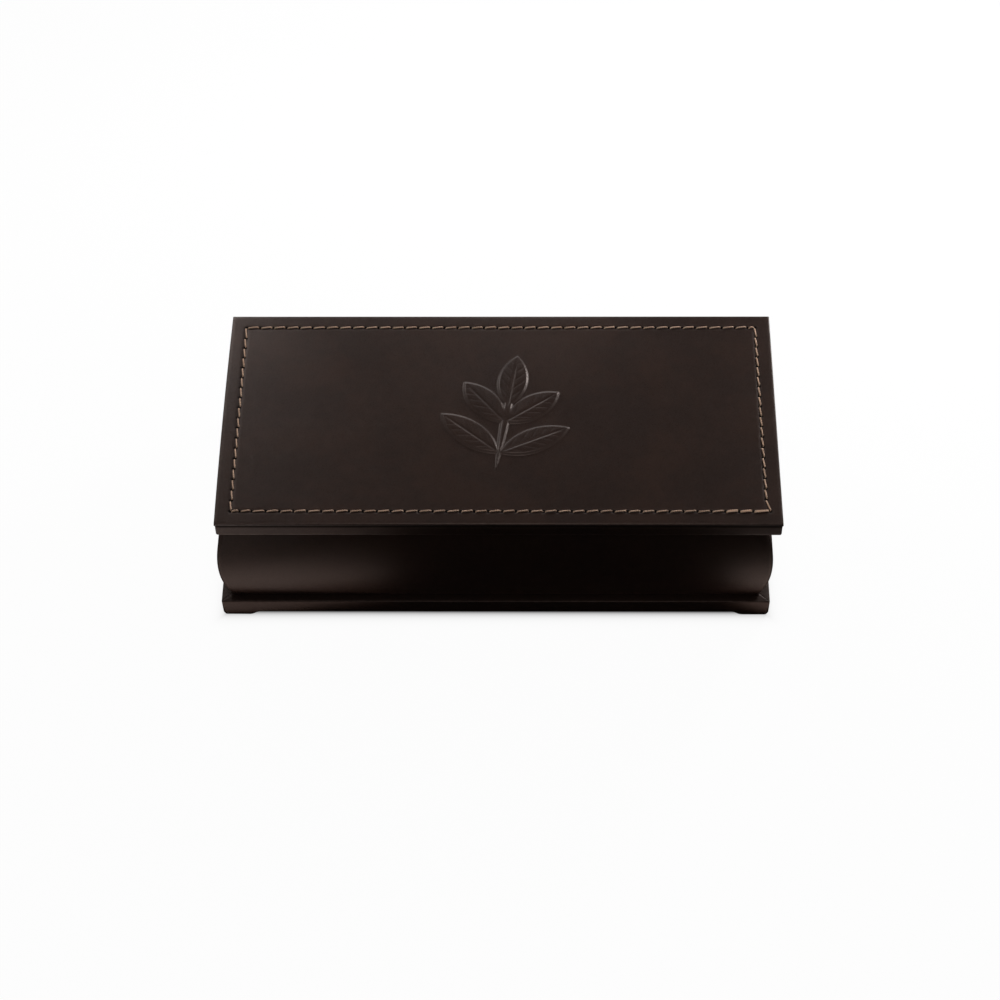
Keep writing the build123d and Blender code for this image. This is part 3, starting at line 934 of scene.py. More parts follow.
def rim_of_wall(radius, top, edge_radius, foot):
    """Outside of the wall from its foot over the rounded rim to the flat top."""
    look = settings("case")
    centre_height = top - edge_radius
    rise = centre_height - look.bulge_height
    across = sqrt((radius - edge_radius) ** 2 - rise**2)
    lean = atan2(rise, across)
    start = look.bulge_height + radius * sin(lean)
    levels = 26
    heights = np.linspace(foot, start, levels)[:-1]
    wall = np.column_stack((bulge_inset(heights, radius), heights))
    centre_inset = look.bulge_radius - across
    rim = bend(centre_inset, centre_height, edge_radius, np.degrees(lean), 90, steps=7)
    return np.concatenate((wall, rim))


def cover_skin(ring, opening, turned_to):
    """Cross-section of a wall's cover: up the bulge, over the rim and down inside."""
    look = settings("case")
    thick = settings("leather").cover

    def turned_in(wall, top, mouth_at, mouth):
        """Path of a wall, carried on over the flat top and down inside."""
        over = bend(mouth_at - mouth, top - mouth, mouth, 90, 180, steps=5)
        return np.concatenate(
            (
                wall,
                run(wall[-1], (mouth_at - mouth, top), steps=6)[1:],
                over,
                run(over[-1], (mouth_at, turned_to), steps=9)[1:],
                ((mouth_at, turned_to),),
            )
        )

    wall = rim_of_wall(look.bulge_radius, ring.high, look.rim_round, ring.low)
    outer = turned_in(wall, ring.high, opening, look.mouth_round)
    core = rim_of_wall(look.bulge_radius - thick, ring.high - thick, TIGHT_BEND, ring.low)
    inner = turned_in(core, ring.high - thick, opening - thick, TIGHT_BEND)
    centres = bulge_inset(outer[:, 1], look.bulge_radius) + look.corner
    from_rim = np.hypot(outer[:, 0] - wall[-1, 0], outer[:, 1] - ring.high)
    rubbed_width, rubbed_share = 1.2 * mm, 0.7
    edges = rubbed_share * np.exp(-((from_rim / rubbed_width) ** 2))
    return outer, inner, centres, edges


class TRINKET_OT_covers(bpy.types.Operator):
    """Cover the bulged walls in leather turned in over the rim"""

    bl_idname = "trinket_box.covers"
    bl_label = "Cover the walls"

    def execute(self, context):
        look = settings("case")
        ring = Ring("cover", look.corner)
        lining_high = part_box("lining_right")[1]
        opening = ring.middle + ring.half_width - lining_high.x + settings("leather").cover
        skin = cover_skin(ring, opening, lining_high.z)
        material = leather("cover_calf", polish=0.45, wear=0.5)
        pieces = {}
        for side, points, faces, rub in strips(ring, skin, "covers"):
            name = f"cover_{side}_leather"
            piece = add_piece(name, points, faces, material, "case", {"edge": rub})
            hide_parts(f"cover_{side}")
            pieces[side] = piece
        axis = sum(end.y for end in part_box("hinge_left_pin")) / 2
        past_back, above = ring.half_depth + mm, ring.high + mm
        rooms = []
        for (low, high), (lid_leaf_low, _) in zip(hinge_boxes("case"), hinge_boxes("lid")):
            left, right = low.x - look.clearance, high.x + look.clearance
            leaf_corner = (left, low.y - look.clearance, ring.high - look.leaf)
            rooms.append((leaf_corner, (right, past_back, above)))
            middle = (low.x + high.x) / 2
            left, right = middle - look.heel_width / 2, middle + look.heel_width / 2
            heel_corner = (left, axis - look.heel_reach, lid_leaf_low.z - look.heel_drop)
            rooms.append((heel_corner, (right, past_back, above)))
        cut_mortises(pieces["back"], rooms)
        return {"FINISHED"}


# Top sheet


class Leaf:
    """Pointed leaf between two arcs: its base, its direction, its size and whether it has veins."""

    def __init__(self, base, angle, size, width, veined):
        self.base = base
        self.angle = angle
        self.size = size
        self.width = width
        self.veined = veined
        self.tip = (base[0] - size * sin(angle), base[1] + size * cos(angle))

    def depths(self, x, y):
        """Depth inside the leaf's outline, and depth of the veins creased in it."""
        look = settings("sprig")
        dx, dy = x - self.base[0], y - self.base[1]
        along = -dx * sin(self.angle) + dy * cos(self.angle)
        across = np.abs(dx * cos(self.angle) + dy * sin(self.angle))
        radius = (self.size**2 + self.width**2) / (4 * self.width)
        inside = radius - np.hypot(across + radius - self.width / 2, along - self.size / 2)
        if not self.veined:
            return inside, 0 * inside
        # Veins die out towards the leaf's edge and its tip
        edge_fade, tip_fade = 1.6 * mm, 9 * mm
        middle_width, side_width, side_spacing = 0.5 * mm, 0.42 * mm, 4.4 * mm
        side_share, side_slant, side_fade = 0.34, 1.25, 1.2 * mm
        middle = np.exp(-((across / middle_width) ** 2)) * np.clip((self.size - along) / tip_fade, 0, 1)
        branch = (along - side_slant * across) / side_spacing
        off_branch = np.abs(branch - np.round(branch)) * side_spacing
        side = side_share * np.exp(-((off_branch / side_width) ** 2)) * np.clip(across / side_fade, 0, 1)
        within = np.clip(inside / edge_fade, 0, 1)
        return inside, np.maximum(middle, side) * within * look.vein_depth


def sprig_leaves():
    """Stem, end leaf and two pairs of leaves, placed on the lid."""
    look = settings("sprig")
    # Height of the pair on the stem, length of its leaves and their angle from the stem
    pairs = ((8 * mm, 31 * mm, radians(57)), (24 * mm, 27 * mm, radians(46)))
    top_leaf = 28 * mm
    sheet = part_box("lid_top_sheet")
    middle = ((sheet[0].x + sheet[1].x) / 2 + look.place_x, look.place_y)

    def on_stem(height):
        rise = height - look.stem_length / 2
        return (middle[0] - rise * sin(look.tilt), middle[1] + rise * cos(look.tilt))

    leaves = [Leaf(on_stem(0), look.tilt, look.stem_length, look.stem_width, veined=False)]
    top_base = on_stem(look.stem_length - top_leaf)
    leaves.append(Leaf(top_base, look.tilt, top_leaf, look.leaf_width, veined=True))
    for height, size, angle in pairs:
        for side in (-1, 1):
            turn = look.tilt - side * angle
            leaves.append(Leaf(on_stem(height), turn, size, look.leaf_width, veined=True))
    return leaves


def sprig_height(x, y):
    """Height of the raised sprig, and where its leather is stretched over an edge, which the top sheet
    draws lighter, partly as a painted highlight.
    """
    look = settings("sprig")
    inside = None
    veins = 0
    for leaf in sprig_leaves():
        depth, vein = leaf.depths(x, y)
        inside = depth if inside is None else np.maximum(inside, depth)
        veins = np.maximum(veins, vein)
    # The slope starts a little outside a leaf's outline
    outside = 0.45 * mm
    risen = np.clip((inside + outside) / look.shoulder, 0, 1)
    slope = risen**2 * (3 - 2 * risen)
    stretched = 4 * slope * (1 - slope)
    dome = 1 - (1 - np.clip(inside / (look.leaf_width / 2), 0, 1)) ** 2
    return look.relief * ((1 - look.crown) * slope + look.crown * dome) - veins, stretched


def stitch_lines():
    """Each side's holes in order and its direction, all round from the front left."""
    look = settings("stitching")
    low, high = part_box("lid_top_sheet")
    middle = Vector(((low.x + high.x) / 2, 0))
    half_width = (high.x - low.x) / 2 - look.margin_side
    half_depth = (high.y - low.y) / 2 - look.margin_front
    # Shares of the pitch of the first few stitches of each side, as they were sewn
    starts = {"front": (0.66, 0.86), "right": (1.12,), "back": (0.58, 0.95), "left": (1.1,)}
    # The line goes on a little to the right before it turns the front right corner
    corner_pull = Vector((1.2 * mm, 0))
    lines = {}
    for number, side in enumerate(SIDES):
        half_along, half_across = half_width, half_depth
        if side in ("right", "left"):
            half_along, half_across = half_depth, half_width
        count = round(2 * half_along / look.pitch)
        gaps = np.ones(count)
        gaps[: len(starts[side])] = starts[side]
        gaps *= 2 * half_along / gaps.sum()
        alongs = np.concatenate(((0,), np.cumsum(gaps))) - half_along
        turn = Matrix.Rotation(number * pi / 2, 2)
        holes = [middle + turn @ Vector((along, -half_across)) for along in alongs]
        lines[side] = (holes, turn @ Vector((1, 0)))
    lines["front"][0][-1] += corner_pull
    lines["right"][0][0] += corner_pull
    return lines


def stitch_dents(x, y):
    """Groove and awl holes of the stitching: their depth, and the painted shade in and round them."""
    look = settings("stitching")
    # A hole is a little wider across the line than along it, and the painted shade round it wider still
    across_share, shade_spread, shade_gain, groove_shade = 1.15, 1.5, 2.0, 0.3
    depth = np.zeros(np.broadcast(x, y).shape)
    dark = np.zeros_like(depth)
    for holes, direction in stitch_lines().values():
        origin = holes[1]
        sideways = Vector((-direction.y, direction.x))
        places = np.array([(hole - origin).dot(direction) for hole in holes])
        offsets = np.array([(hole - origin).dot(sideways) for hole in holes])
        along = (x - origin.x) * direction.x + (y - origin.y) * direction.y
        across = (x - origin.x) * sideways.x + (y - origin.y) * sideways.y
        past = np.maximum(np.maximum(places[0] - along, along - places[-1]), 0)
        from_line = np.hypot(across - np.interp(along, places, offsets), past)
        groove = np.exp(-((from_line / look.groove_width) ** 2))
        nearest = np.abs(along[..., None] - places).argmin(axis=-1)
        off_across = (across - offsets[nearest]) / (across_share * look.hole)
        stretch = np.hypot((along - places[nearest]) / look.hole, off_across)
        hole = np.exp(-(stretch**3))
        depth = np.maximum(depth, groove * look.groove_depth + hole * look.hole_depth)
        # Painted shade: near black in and round each awl hole, fainter along the groove
        shade = np.exp(-((stretch / shade_spread) ** 3))
        dark = np.maximum(dark, np.clip(shade_gain * shade, 0, 1))
        dark = np.maximum(dark, groove_shade * groove)
    return depth, dark


def graded(low, high, spacing):
    """Lines from low to high whose gaps follow a wanted spacing."""
    samples = 6000
    places = np.linspace(low, high, samples)
    gaps = spacing((places[1:] + places[:-1]) / 2)
    growth = np.concatenate(((0,), np.cumsum(np.diff(places) / gaps)))
    return np.interp(np.linspace(0, growth[-1], int(growth[-1]) + 2), growth, places)


def sheet_lines():
    """Lines of the top sheet's grid: fine over the sprig, the stitching and the awl holes."""
    look = settings("stitching")
    low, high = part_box("lid_top_sheet")
    lines = stitch_lines()
    leaves = sprig_leaves()
    # Gaps at the stitching, over the sprig and elsewhere
    fine, raised, plain = 0.27 * mm, 0.32 * mm, 1.3 * mm
    # How far the fine gaps reach from a hole, from a groove and past the sprig
    hole_reach, groove_reach, sprig_reach = 0.9 * mm, 2.3 * mm, 2 * mm
    # Lines over the sheet's rounded edge
    edge = 0.45 * mm
    rim = np.array((0, 0.03, 0.09, 0.18, 0.3)) * mm
    # Axis that the lines cross, sides whose holes they follow, and margin of the grooves along them
    ways = ((0, ("front", "back"), look.margin_side), (1, ("right", "left"), look.margin_front))
    result = []
    for axis, hole_sides, margin in ways:
        holes = np.array([hole[axis] for side in hole_sides for hole in lines[side][0]])
        grooves = np.array((low[axis] + margin, high[axis] - margin))
        ends = [end[axis] for leaf in leaves for end in (leaf.base, leaf.tip)]
        sprig_low, sprig_high = min(ends) - sprig_reach, max(ends) + sprig_reach

        def spacing(place):
            gap = np.where((place > sprig_low) & (place < sprig_high), raised, plain)
            near_hole = np.abs(place[:, None] - holes).min(axis=1) < hole_reach
            near_groove = np.abs(place[:, None] - grooves).min(axis=1) < groove_reach
            return np.where(near_hole | near_groove, np.minimum(gap, fine), gap)

        inner = graded(low[axis] + edge, high[axis] - edge, spacing)
        result.append(np.concatenate((low[axis] + rim, inner, high[axis] - rim[::-1])))
    return result


def close_slab(points, faces, border, middle, half, bottom, depth):
    """Points of a face and of the rings that close it down to its back, whose faces are added."""
    # The lower edge is softened, and a first ring lies below the rounded upper edge
    soft = 0.25 * mm
    hem = 0.3 * soft
    first_down = 0.35
    # How far each ring lies in from the border, and its share of the way down to the back
    rings = ((0.0, first_down), (0.0, 1 - soft / depth), (hem, 1 - hem / depth), (soft, 1.0))
    rim = points[border]
    walls = []
    above = list(border)
    for number, (inset, share_down) in enumerate(rings):
        wall = rim.copy()
        wall[:, :2] = middle + (rim[:, :2] - middle) * (1 - inset / half)
        wall[:, 2] = rim[:, 2] + (bottom - rim[:, 2]) * share_down
        walls.append(wall)
        start = len(points) + number * len(border)
        here = list(range(start, start + len(border)))
        for k in range(len(border)):
            after = (k + 1) % len(border)
            faces.append((above[k], above[after], here[after], here[k]))
        above = here
    faces.append(tuple(above))
    return np.concatenate((points, *walls))


def covered_slab(lines_x, lines_y, corner, edge_round, top, bottom, height, facing=1):
    """Closed thin form: a height field with rounded edges and corners over a flat back.

    top and bottom are the heights of its face and its back, and height gives what is added to the
    face. facing is -1 for a form that faces down. Returns the points, the faces and the face's grid.
    """
    ends = np.array(((lines_x[0], lines_y[0]), (lines_x[-1], lines_y[-1])))
    middle = ends.mean(axis=0)
    half = (ends[1] - ends[0]) / 2
    x, y = np.meshgrid(lines_x, lines_y, indexing="ij")
    off_x, off_y = x - middle[0], y - middle[1]
    from_edge = np.minimum(half[0] - np.abs(off_x), half[1] - np.abs(off_y))
    drop = edge_round - np.sqrt(edge_round**2 - np.clip(edge_round - from_edge, 0, edge_round) ** 2)
    round_x, round_y = rounded_plan(off_x, off_y, half[0], half[1], corner)
    level = top + facing * (height(x, y, from_edge) - drop)
    points = np.stack((middle[0] + round_x, middle[1] + round_y, level), axis=-1).reshape(-1, 3)
    faces = strip_faces(*x.shape, closed=False)
    grid = np.arange(x.size).reshape(x.shape)
    border = np.concatenate((grid[:-1, 0], grid[-1, :-1], grid[:0:-1, -1], grid[0, :0:-1]))
    depth = abs(top - bottom) - edge_round
    points = close_slab(points, faces, border, middle, half, bottom, depth)
    return points, faces, (x, y, from_edge)


class TRINKET_OT_top_sheet(bpy.types.Operator):
    """Lay the top sheet over the lid, raised over the sprig and dented by its stitching"""

    bl_idname = "trinket_box.top_sheet"
    bl_label = "Top sheet"

    def execute(self, context):
        slab = settings("slabs")
        low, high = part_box("lid_top_sheet")
        top = low.z + settings("leather").sheet
        seed = first_seed("sheet")
        # Waves of a sheet laid flat, which die out towards its edge
        wave, shortest, longest, calm_edge = 0.04 * mm, 25 * mm, 90 * mm, 8 * mm

        def height(x, y, from_edge):
            wavy = waves(seed, x, y, wave, shortest, longest) * np.clip(from_edge / calm_edge, 0, 1)
            return sprig_height(x, y)[0] - stitch_dents(x, y)[0] + wavy

        form = covered_slab(*sheet_lines(), slab.sheet_corner, slab.sheet_round, top, low.z, height)
        points, faces, (x, y, from_edge) = form
        # The sheet was cut by hand, and bows out a little at its left edge
        reach_x = 2 * (points[:, 0] - low.x) / (high.x - low.x) - 1
        reach_y = 2 * (points[:, 1] - low.y) / (high.y - low.y) - 1
        points[:, 0] -= slab.sheet_bow * (1 - reach_y**2) * np.clip(-reach_x, 0, 1) ** 6
        # The sheet's edge is lighter with wear and as a painted highlight, and the sprig's shoulders are
        # lighter where the leather is stretched, also as a painted highlight
        rubbed_width, shoulder_highlight_share = 0.7 * mm, 0.35
        rubbed = np.exp(-((from_edge / rubbed_width) ** 2))
        edge = np.maximum(rubbed, shoulder_highlight_share * sprig_height(x, y)[1])
        # The cut edge of the sheet is dyed dark and painted near black as the shade of the seam beneath
        # it, ring by ring below its rounded upper edge
        ring_dye_and_shade = (0.3, 1.0, 1.0, 1.0)
        dyed_and_shaded = np.repeat(ring_dye_and_shade, (len(points) - x.size) // len(ring_dye_and_shade))
        values = {
            "edge": np.concatenate((edge.ravel(), 0 * dyed_and_shaded)),
            "pit": np.concatenate((stitch_dents(x, y)[1].ravel(), dyed_and_shaded)),
        }
        name = "lid_top_sheet_leather"
        material = leather("sheet_calf", wear=0.55)
        piece = add_piece(name, points, faces, material, "lid", values, sharp=60)
        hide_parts("lid_top_sheet")
        return {"FINISHED"}


# Stitching


def strand(path, offset, turns, radius, sides=6):
    """Points and faces of one ply that winds round a path."""
    count = len(path)
    tangent = np.gradient(path, axis=0)
    tangent /= np.linalg.norm(tangent, axis=1)[:, None]
    sideways = np.cross((0, 0, 1.0), tangent)
    sideways /= np.linalg.norm(sideways, axis=1)[:, None]
    upwards = np.cross(tangent, sideways)
    centre = path + offset * (sideways * np.cos(turns)[:, None] + upwards * np.sin(turns)[:, None])
    angles = (np.arange(sides) * 2 * pi / sides)[None, :, None]
    ring = sideways[:, None, :] * np.cos(angles) + upwards[:, None, :] * np.sin(angles)
    points = (centre[:, None, :] + radius * ring).reshape(-1, 3)
    faces = strip_faces(count, sides, closed=True)
    faces += [tuple(range(sides)), tuple(range((count - 1) * sides, count * sides))]
    return points, faces


def stitch_path(start, end, direction, top, rise, shift):
    """Way of a thread from one hole over the leather into the next."""
    look = settings("stitching")
    points, steepness, hump_height = 25, 2.2, 0.06 * mm
    across = Vector((-direction.y, direction.x))
    along = np.linspace(0, 1, points)[:, None]
    lean = (2 * along - 1) * look.lean + shift
    plan = np.array(start) * (1 - along) + np.array(end) * along + lean * np.array(across)
    from_hole = np.minimum(along, 1 - along)[:, 0] * (end - start).length
    climb = np.clip((from_hole - look.sunk) / look.climb, 0, 1)
    climb = 1 - (1 - climb) ** steepness
    hump = np.sin(along[:, 0] * pi) * hump_height
    deep = look.hole_depth + look.groove_depth + 2 * look.strand
    level = top - deep + climb * (deep - look.groove_depth + rise) + hump
    return np.column_stack((plan, level))


class TRINKET_OT_stitching(bpy.types.Operator):
    """Sew the border with twisted two-ply thread, stitch by stitch"""

    bl_idname = "trinket_box.stitching"
    bl_label = "Border stitching"

    def execute(self, context):
        look = settings("stitching")
        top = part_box("lid_top_sheet")[0].z + settings("leather").sheet
        draws = np.random.default_rng(first_seed("thread"))
        # The last stitches of the front are sewn twice, side by side
        doubled, apart = 3, 0.24 * mm
        # A stitch strays a little to either side, and its middle lies above the groove
        stray, lifted, lowest, highest = 0.06, 0.13 * mm, -0.03, 0.05
        # The two plies press into each other
        ply_offset = 0.88 * look.strand
        points, faces = [], []
        count = 0
        for side, (holes, direction) in stitch_lines().items():
            stitches = len(holes) - 1
            for place in range(stitches):
                sewn_twice = side == "front" and place >= stitches - doubled
                for shift in (-apart, apart) if sewn_twice else (0.0,):
                    wobble = draws.uniform(-stray, stray) * mm
                    rise = look.strand + lifted + draws.uniform(lowest, highest) * mm
                    ends = (holes[place], holes[place + 1])
                    path = stitch_path(*ends, direction, top, rise, shift + wobble)
                    steps = np.linalg.norm(np.diff(path, axis=0), axis=1)
                    along = np.concatenate(((0,), np.cumsum(steps)))
                    turns = draws.uniform(0, 2 * pi) + along * 2 * pi / look.twist
                    for ply in (0, pi):
                        ply_points, ply_faces = strand(path, ply_offset, turns + ply, look.strand)
                        points.append(ply_points)
                        faces += [tuple(corner + count for corner in face) for face in ply_faces]
                        count += len(ply_points)
        material = waxed_thread("tan_thread")
        points = np.concatenate(points)
        piece = add_piece("border_stitches", points, faces, material, "lid", sharp=80)
        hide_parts("border_stitching")
        return {"FINISHED"}


# Linings


def lining_skin(ring):
    """Cross-section of a lining panel: up the room side and over its rounded top."""
    look = settings("lining")
    thick, edge = look.panel, look.panel_round
    # The suede pulls in by the pillow's depth at the panel's foot and top
    pillow_depth, pillow_power, back_gap = 0.28 * mm, 0.6, 0.05 * mm
    face_top = ring.high - edge
    levels = 14
    upwards = np.linspace(0, 1, levels)
    heights = ring.low + upwards * (face_top - ring.low)
    pillow = pillow_depth * (1 - np.sin(upwards * pi) ** pillow_power)
    front = np.column_stack((thick - pillow, heights))
    over = bend(thick - pillow[-1] - edge, face_top, edge, 180, 90)[1:]
    outer = np.concatenate((front, over, ((back_gap, ring.high),)))
    back_heights = np.concatenate((heights, np.linspace(face_top, ring.high, len(over) + 2)[1:]))
    inner = np.column_stack((np.zeros(len(back_heights)), back_heights))
    return outer, inner, np.zeros(len(outer)), np.zeros(len(outer))


class TRINKET_OT_linings(bpy.types.Operator):
    """Line the walls with suede-covered card panels"""

    bl_idname = "trinket_box.linings"
    bl_label = "Wall linings"

    def execute(self, context):
        ring = Ring("lining", 0.0)
        material = suede("tan_suede")
        for side, points, faces, _ in strips(ring, lining_skin(ring), "linings"):
            piece = add_piece(f"lining_{side}_suede", points, faces, material, "case")
            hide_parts(f"lining_{side}")
        return {"FINISHED"}


def pad(name, nodes, material, body, slot, facing, edge_round, crown, seed):
    """Crowned pad in the space of its first CAD node, facing up or down."""
    grid_gap, crown_share, softer_corner = 2.2 * mm, 0.55, 0.4 * mm
    # Ripples of the cloth over its filling, which are shallow at the pad's edge
    ripple_height, shortest, longest, calm_edge, calm_share = 0.09 * mm, 9 * mm, 40 * mm, 5 * mm, 0.15
    low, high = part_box(nodes[0])
    top, bottom = (high.z, low.z) if facing > 0 else (low.z, high.z)
    degrees = np.arange(0, 90, 15)
    rim = edge_round * (1 - np.cos(np.radians(degrees)))
    lines = []
    for axis in (0, 1):
        start, end = low[axis] + edge_round, high[axis] - edge_round
        inner = graded(start, end, lambda place: grid_gap + 0 * place)
        lines.append(np.concatenate((low[axis] + rim, inner, high[axis] - rim[::-1])))
    crowned = crown_share * min(high.x - low.x, high.y - low.y) / 2

    def height(x, y, from_edge):
        dome = crown * (np.sqrt(1 - (1 - np.clip(from_edge / crowned, 0, 1)) ** 2) - 1)
        ripple = waves(seed, x, y, ripple_height, shortest, longest)
        return dome - np.abs(ripple * np.clip(from_edge / calm_edge, calm_share, 1))

    corner = edge_round + softer_corner
    points, faces, _ = covered_slab(*lines, corner, edge_round, top, bottom, height, facing)
    piece = add_piece(name, points, faces, material, body, sharp=60)
    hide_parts(*nodes)
    return piece


class TRINKET_OT_pads(bpy.types.Operator):
    """Pad the floor and the underside of the lid with suede over foam"""

    bl_idname = "trinket_box.pads"
    bl_label = "Floor pad and lid pad"

    def execute(self, context):
        look = settings("lining")
        # Name, CAD nodes, body and facing of each pad
        pads = (
            ("floor_pad", ("floor_lining", "floor_foam"), "case", 1),
            ("lid_pad", ("lid_liner", "liner_foam"), "lid", -1),
        )
        material = suede("tan_suede")
        sizes = (look.pad_round, look.pad_crown)
        for seed, (name, nodes, body, facing) in enumerate(pads, first_seed("pads")):
            piece = pad(name, nodes, material, body, "suede", facing, *sizes, seed)
        return {"FINISHED"}


class TRINKET_OT_felt(bpy.types.Operator):
    """Glue the felt under the plinth"""

    bl_idname = "trinket_box.felt"
    bl_label = "Felt underneath"

    def execute(self, context):
        edge_round, crown = 0.3 * mm, 0.05 * mm
        sizes = (edge_round, crown, first_seed("felt"))
        nodes = ("underside_felt",)
        piece = pad("underside_felt_cloth", nodes, felt("brown_felt"), "case", "felt", -1, *sizes)
        return {"FINISHED"}


# CAD nodes that stay


class TRINKET_OT_cad_finishes(bpy.types.Operator):
    """Give the hinges and the hidden cores of the CAD model their finishes"""

    bl_idname = "trinket_box.cad_finishes"
    bl_label = "Hinges and cores"

    def execute(self, context):
        makers = {"hinge_brass": brass, "board_wood": wood, "card": card, "foam": foam}
        slot_of = {row["node"]: row["material_slot"] for row in frame["record"]["subparts"]}
        for name, node in frame["nodes"].items():
            maker = makers.get(slot_of[name])
            if maker is None:
                continue
            node.data.materials.clear()
            node.data.materials.append(maker(slot_of[name] + "_finish"))
        return {"FINISHED"}


# Stage


def studio_camera(look):
    """Camera at the photograph's viewing angle."""
    data = bpy.data.cameras.new("studio_camera")
    data.sensor_width = 36.0
    data.lens = look.lens
    data.clip_start = 0.05
    data.clip_end = 20.0
    camera = add_object("studio_camera", data)
    turn = Matrix.Rotation(look.yaw, 4, "Z") @ Matrix.Rotation(pi / 2 - look.pitch, 4, "X")
    turn = turn @ Matrix.Rotation(look.roll, 4, "Z")
    back = turn @ Vector((0, 0, 1))
    camera.matrix_world = Matrix.Translation(Vector(look.aim) + back * look.distance) @ turn
    bpy.context.scene.camera = camera


WHITE = (1.0, 1.0, 1.0)
# Light that the floor throws back up after it has met the brown leather
WARM = (1.0, 0.80, 0.72)
# Point in the middle of the box, near the lid
MIDDLE = (0, 0, 0.05)
# Place, width and depth in metres, power in watts, point that it faces, spread in degrees and colour
LAMPS = {
    "lamp_behind_left": ((-0.17, 0.25, 0.20), (0.10, 0.10), 0.24, MIDDLE, 180, WHITE),
    "lamp_high_left": ((-0.35, 0.45, 0.50), (0.25, 0.25), 0.50, MIDDLE, 180, WHITE),
    "lamp_behind": ((0.0, 0.35, 0.20), (0.15, 0.15), 0.27, MIDDLE, 180, WHITE),
    "lamp_behind_right": ((0.30, 0.30, 0.20), (0.15, 0.15), 1.40, MIDDLE, 180, WHITE),
    "lamp_above": ((0.0, 0.0, 1.20), (0.18, 0.18), 3.00, MIDDLE, 180, WHITE),
    "floor_far_left": ((-0.15, -0.17, 0.0005), (0.15, 0.11), 0.42, (-0.15, -0.17, 1), 130, WHITE),
    "floor_glow_left": ((-0.120, -0.073, 0.0005), (0.15, 0.034), 0.0155, (-0.120, -0.073, 1), 150, WARM),
    "floor_glow_right": ((0.120, -0.068, 0.0005), (0.05, 0.024), 0.0045, (0.120, -0.068, 1), 150, WARM),
}


def soft_lamp(name, place, size, power, aim, spread, tone):
    """Soft oval lamp that points at a place."""
    data = bpy.data.lights.new(name, "AREA")
    data.shape = "ELLIPSE"
    data.size, data.size_y = size
    data.energy = power
    data.spread = radians(spread)
    data.color = tone
    lamp = add_object(name, data)
    lamp.location = place
    lamp.rotation_euler = (Vector(aim) - Vector(place)).to_track_quat("-Z", "Y").to_euler()
    lamp.visible_camera = False


def studio_floor(look):
    """Round floor: to the camera white, plain white further out, and dark to all that it lights."""
    round_segments = 96
    ground = bmesh.new()
    bmesh.ops.create_circle(ground, cap_ends=True, segments=round_segments, radius=look.floor_radius)
    mesh = bpy.data.meshes.new("studio_floor")
    ground.to_mesh(mesh)
    ground.free()
    floor = add_object("studio_floor", mesh)
    material = bpy.data.materials.new("white_floor")
    graph = blank_graph(material)
    camera = graph.node("ShaderNodeLightPath").outputs["Is Camera Ray"]
    distance = graph.node("ShaderNodeVectorMath", {0: graph.place()}, operation="LENGTH")
    faded = graph.ramp(distance.outputs["Value"], look.fade_from, look.fade_to)
    far = graph.times(faded, camera)
    box = Ring("plinth_wrap", 0.0)
    from_middle = {0: graph.place(), 1: (box.middle, 0, 0)}
    offset = graph.node("ShaderNodeVectorMath", from_middle, operation="SUBTRACT")
    offset = graph.node("ShaderNodeVectorMath", {0: offset.outputs[0]}, operation="ABSOLUTE")
    sides = graph.node("ShaderNodeSeparateXYZ", {0: offset.outputs[0]}).outputs
    past_width = graph.math("SUBTRACT", sides["X"], box.half_width)
    from_box = graph.math("MAXIMUM", past_width, graph.math("SUBTRACT", sides["Y"], box.half_depth))
    # The plain white thins out towards the plinth along a set curve, so the lit floor's real shadow
    # shows there with a fall-off painted by distance
    from_box = graph.plus(from_box, look.shadow_start)
    fallen = graph.math("DIVIDE", graph.math("MAXIMUM", from_box, 0.0), -look.shadow_reach)
    shadow = graph.math("EXPONENT", fallen)
    thinned = graph.times(graph.math("SUBTRACT", 1.0, shadow), look.floor_plain)
    plain = graph.math("MAXIMUM", far, graph.times(camera, thinned))
    reflectance = graph.mix(camera, (look.floor_bounce,) * 3, (look.floor_white,) * 3)
    painted = graph.node("ShaderNodeBsdfDiffuse", {"Color": reflectance})
    white = graph.node("ShaderNodeEmission", {"Color": WHITE, "Strength": 1.0})
    shaders = {0: plain, 1: painted.outputs[0], 2: white.outputs[0]}
    mixed = graph.node("ShaderNodeMixShader", shaders)
    graph.node("ShaderNodeOutputMaterial", {"Surface": mixed.outputs[0]})
    floor.data.materials.append(material)
    floor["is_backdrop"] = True


def studio_room(look):
    """Room that is white to the camera and in gloss, with only a soft fill from it on the box."""
    world = bpy.data.worlds.new("white_room")
    graph = blank_graph(world)
    path = graph.node("ShaderNodeLightPath").outputs
    seen = graph.math("MAXIMUM", path["Is Camera Ray"], path["Is Glossy Ray"])
    seen = graph.math("MAXIMUM", seen, path["Is Transmission Ray"])
    strength = graph.ramp(seen, 0.0, 1.0, look.fill, 1.0)
    room = graph.node("ShaderNodeBackground", {"Color": WHITE, "Strength": strength})
    graph.node("ShaderNodeOutputWorld", {"Surface": room.outputs[0]})
    bpy.context.scene.world = world


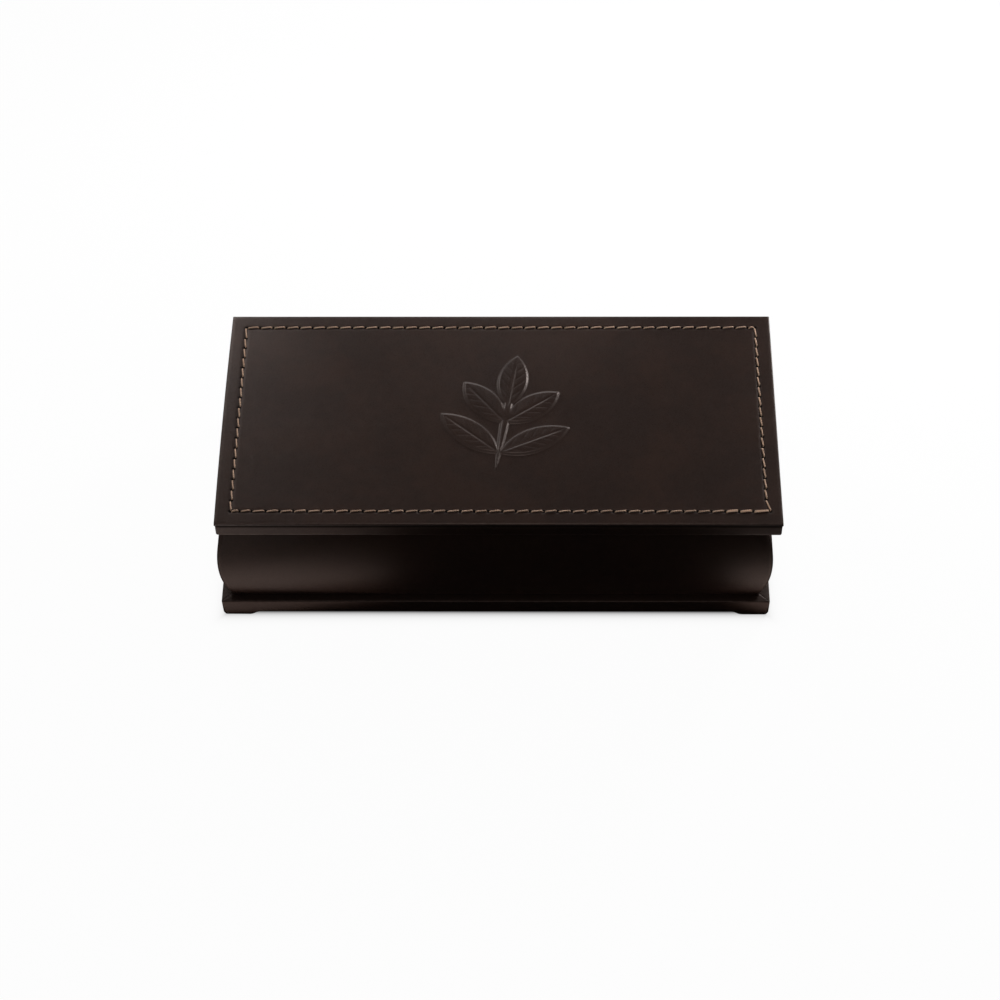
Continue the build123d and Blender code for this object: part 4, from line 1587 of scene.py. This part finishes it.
def black_card(look, name, turn, foot, height, lean):
    """Card out of sight before or behind the box, so that its gloss has something dark to reflect."""
    side = look.card_width / 2
    points = [(-side, 0, 0), (side, 0, 0), (side, 0, height), (-side, 0, height)]
    mesh = bpy.data.meshes.new(name)
    mesh.from_pydata(points, [], [(0, 1, 2, 3)])
    material = bpy.data.materials.new(name)
    graph = blank_graph(material)
    fibres = graph.noise(graph.place(), 3 * mm)
    tone = graph.ramp(fibres, 0.3, 0.7, to_low=0.006, to_high=0.012)
    black = graph.node("ShaderNodeBsdfDiffuse", {"Color": tone})
    graph.node("ShaderNodeOutputMaterial", {"Surface": black.outputs[0]})
    mesh.materials.append(material)
    board = add_object(name, mesh)
    board.rotation_euler = (lean, 0, turn)
    board.location = (0, look.card_distance * cos(turn), foot)
    board.visible_camera = False
    board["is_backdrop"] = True


class TRINKET_OT_studio(bpy.types.Operator):
    """Set up the camera, the lamps, the black cards, the floor and the white room"""

    bl_idname = "trinket_box.studio"
    bl_label = "Studio"

    def execute(self, context):
        look = settings("studio")
        studio_camera(look)
        for name, values in LAMPS.items():
            soft_lamp(name, *values)
        back = (look.back_card_foot, look.back_card_height, look.back_card_lean)
        black_card(look, "card_behind", 0.0, *back)
        black_card(look, "card_in_front", pi, 0.0, look.front_card_height, 0.0)
        studio_floor(look)
        studio_room(look)
        context.scene.view_settings.view_transform = "Standard"
        return {"FINISHED"}


OPERATORS = (
    TRINKET_OT_top_sheet,
    TRINKET_OT_stitching,
    TRINKET_OT_lid_wrap,
    TRINKET_OT_covers,
    TRINKET_OT_plinth_wrap,
    TRINKET_OT_linings,
    TRINKET_OT_pads,
    TRINKET_OT_felt,
    TRINKET_OT_cad_finishes,
    TRINKET_OT_studio,
)


class TRINKET_PT_box(bpy.types.Panel):
    """Sidebar panel with the box's settings and operators"""

    bl_label = "Trinket box"
    bl_idname = "TRINKET_PT_box"
    bl_space_type = "VIEW_3D"
    bl_region_type = "UI"
    bl_category = "Trinket box"

    def draw(self, context):
        for name, group in SETTINGS.items():
            box = self.layout.box()
            box.label(text=name.capitalize())
            for key in group.__annotations__:
                box.prop(settings(name), key)
        for operator in OPERATORS:
            self.layout.operator(operator.bl_idname)


def register():
    """Register the settings, the operators and the panel."""
    for name, group in SETTINGS.items():
        bpy.utils.register_class(group)
        setattr(bpy.types.Scene, f"trinket_box_{name}", PointerProperty(type=group))
    for item in (*OPERATORS, TRINKET_PT_box):
        bpy.utils.register_class(item)


def unregister():
    """Remove everything that register added."""
    for item in (TRINKET_PT_box, *reversed(OPERATORS)):
        bpy.utils.unregister_class(item)
    for name, group in SETTINGS.items():
        delattr(bpy.types.Scene, f"trinket_box_{name}")
        bpy.utils.unregister_class(group)


def main():
    register()
    for operator in OPERATORS:
        family, action = operator.bl_idname.split(".")
        getattr(getattr(bpy.ops, family), action)()
    boxes = {"cad": cad_box, "visual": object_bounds()}
    {name: [list(corner) for corner in box] for name, box in boxes.items()}


if __name__ == "__main__":
    main()
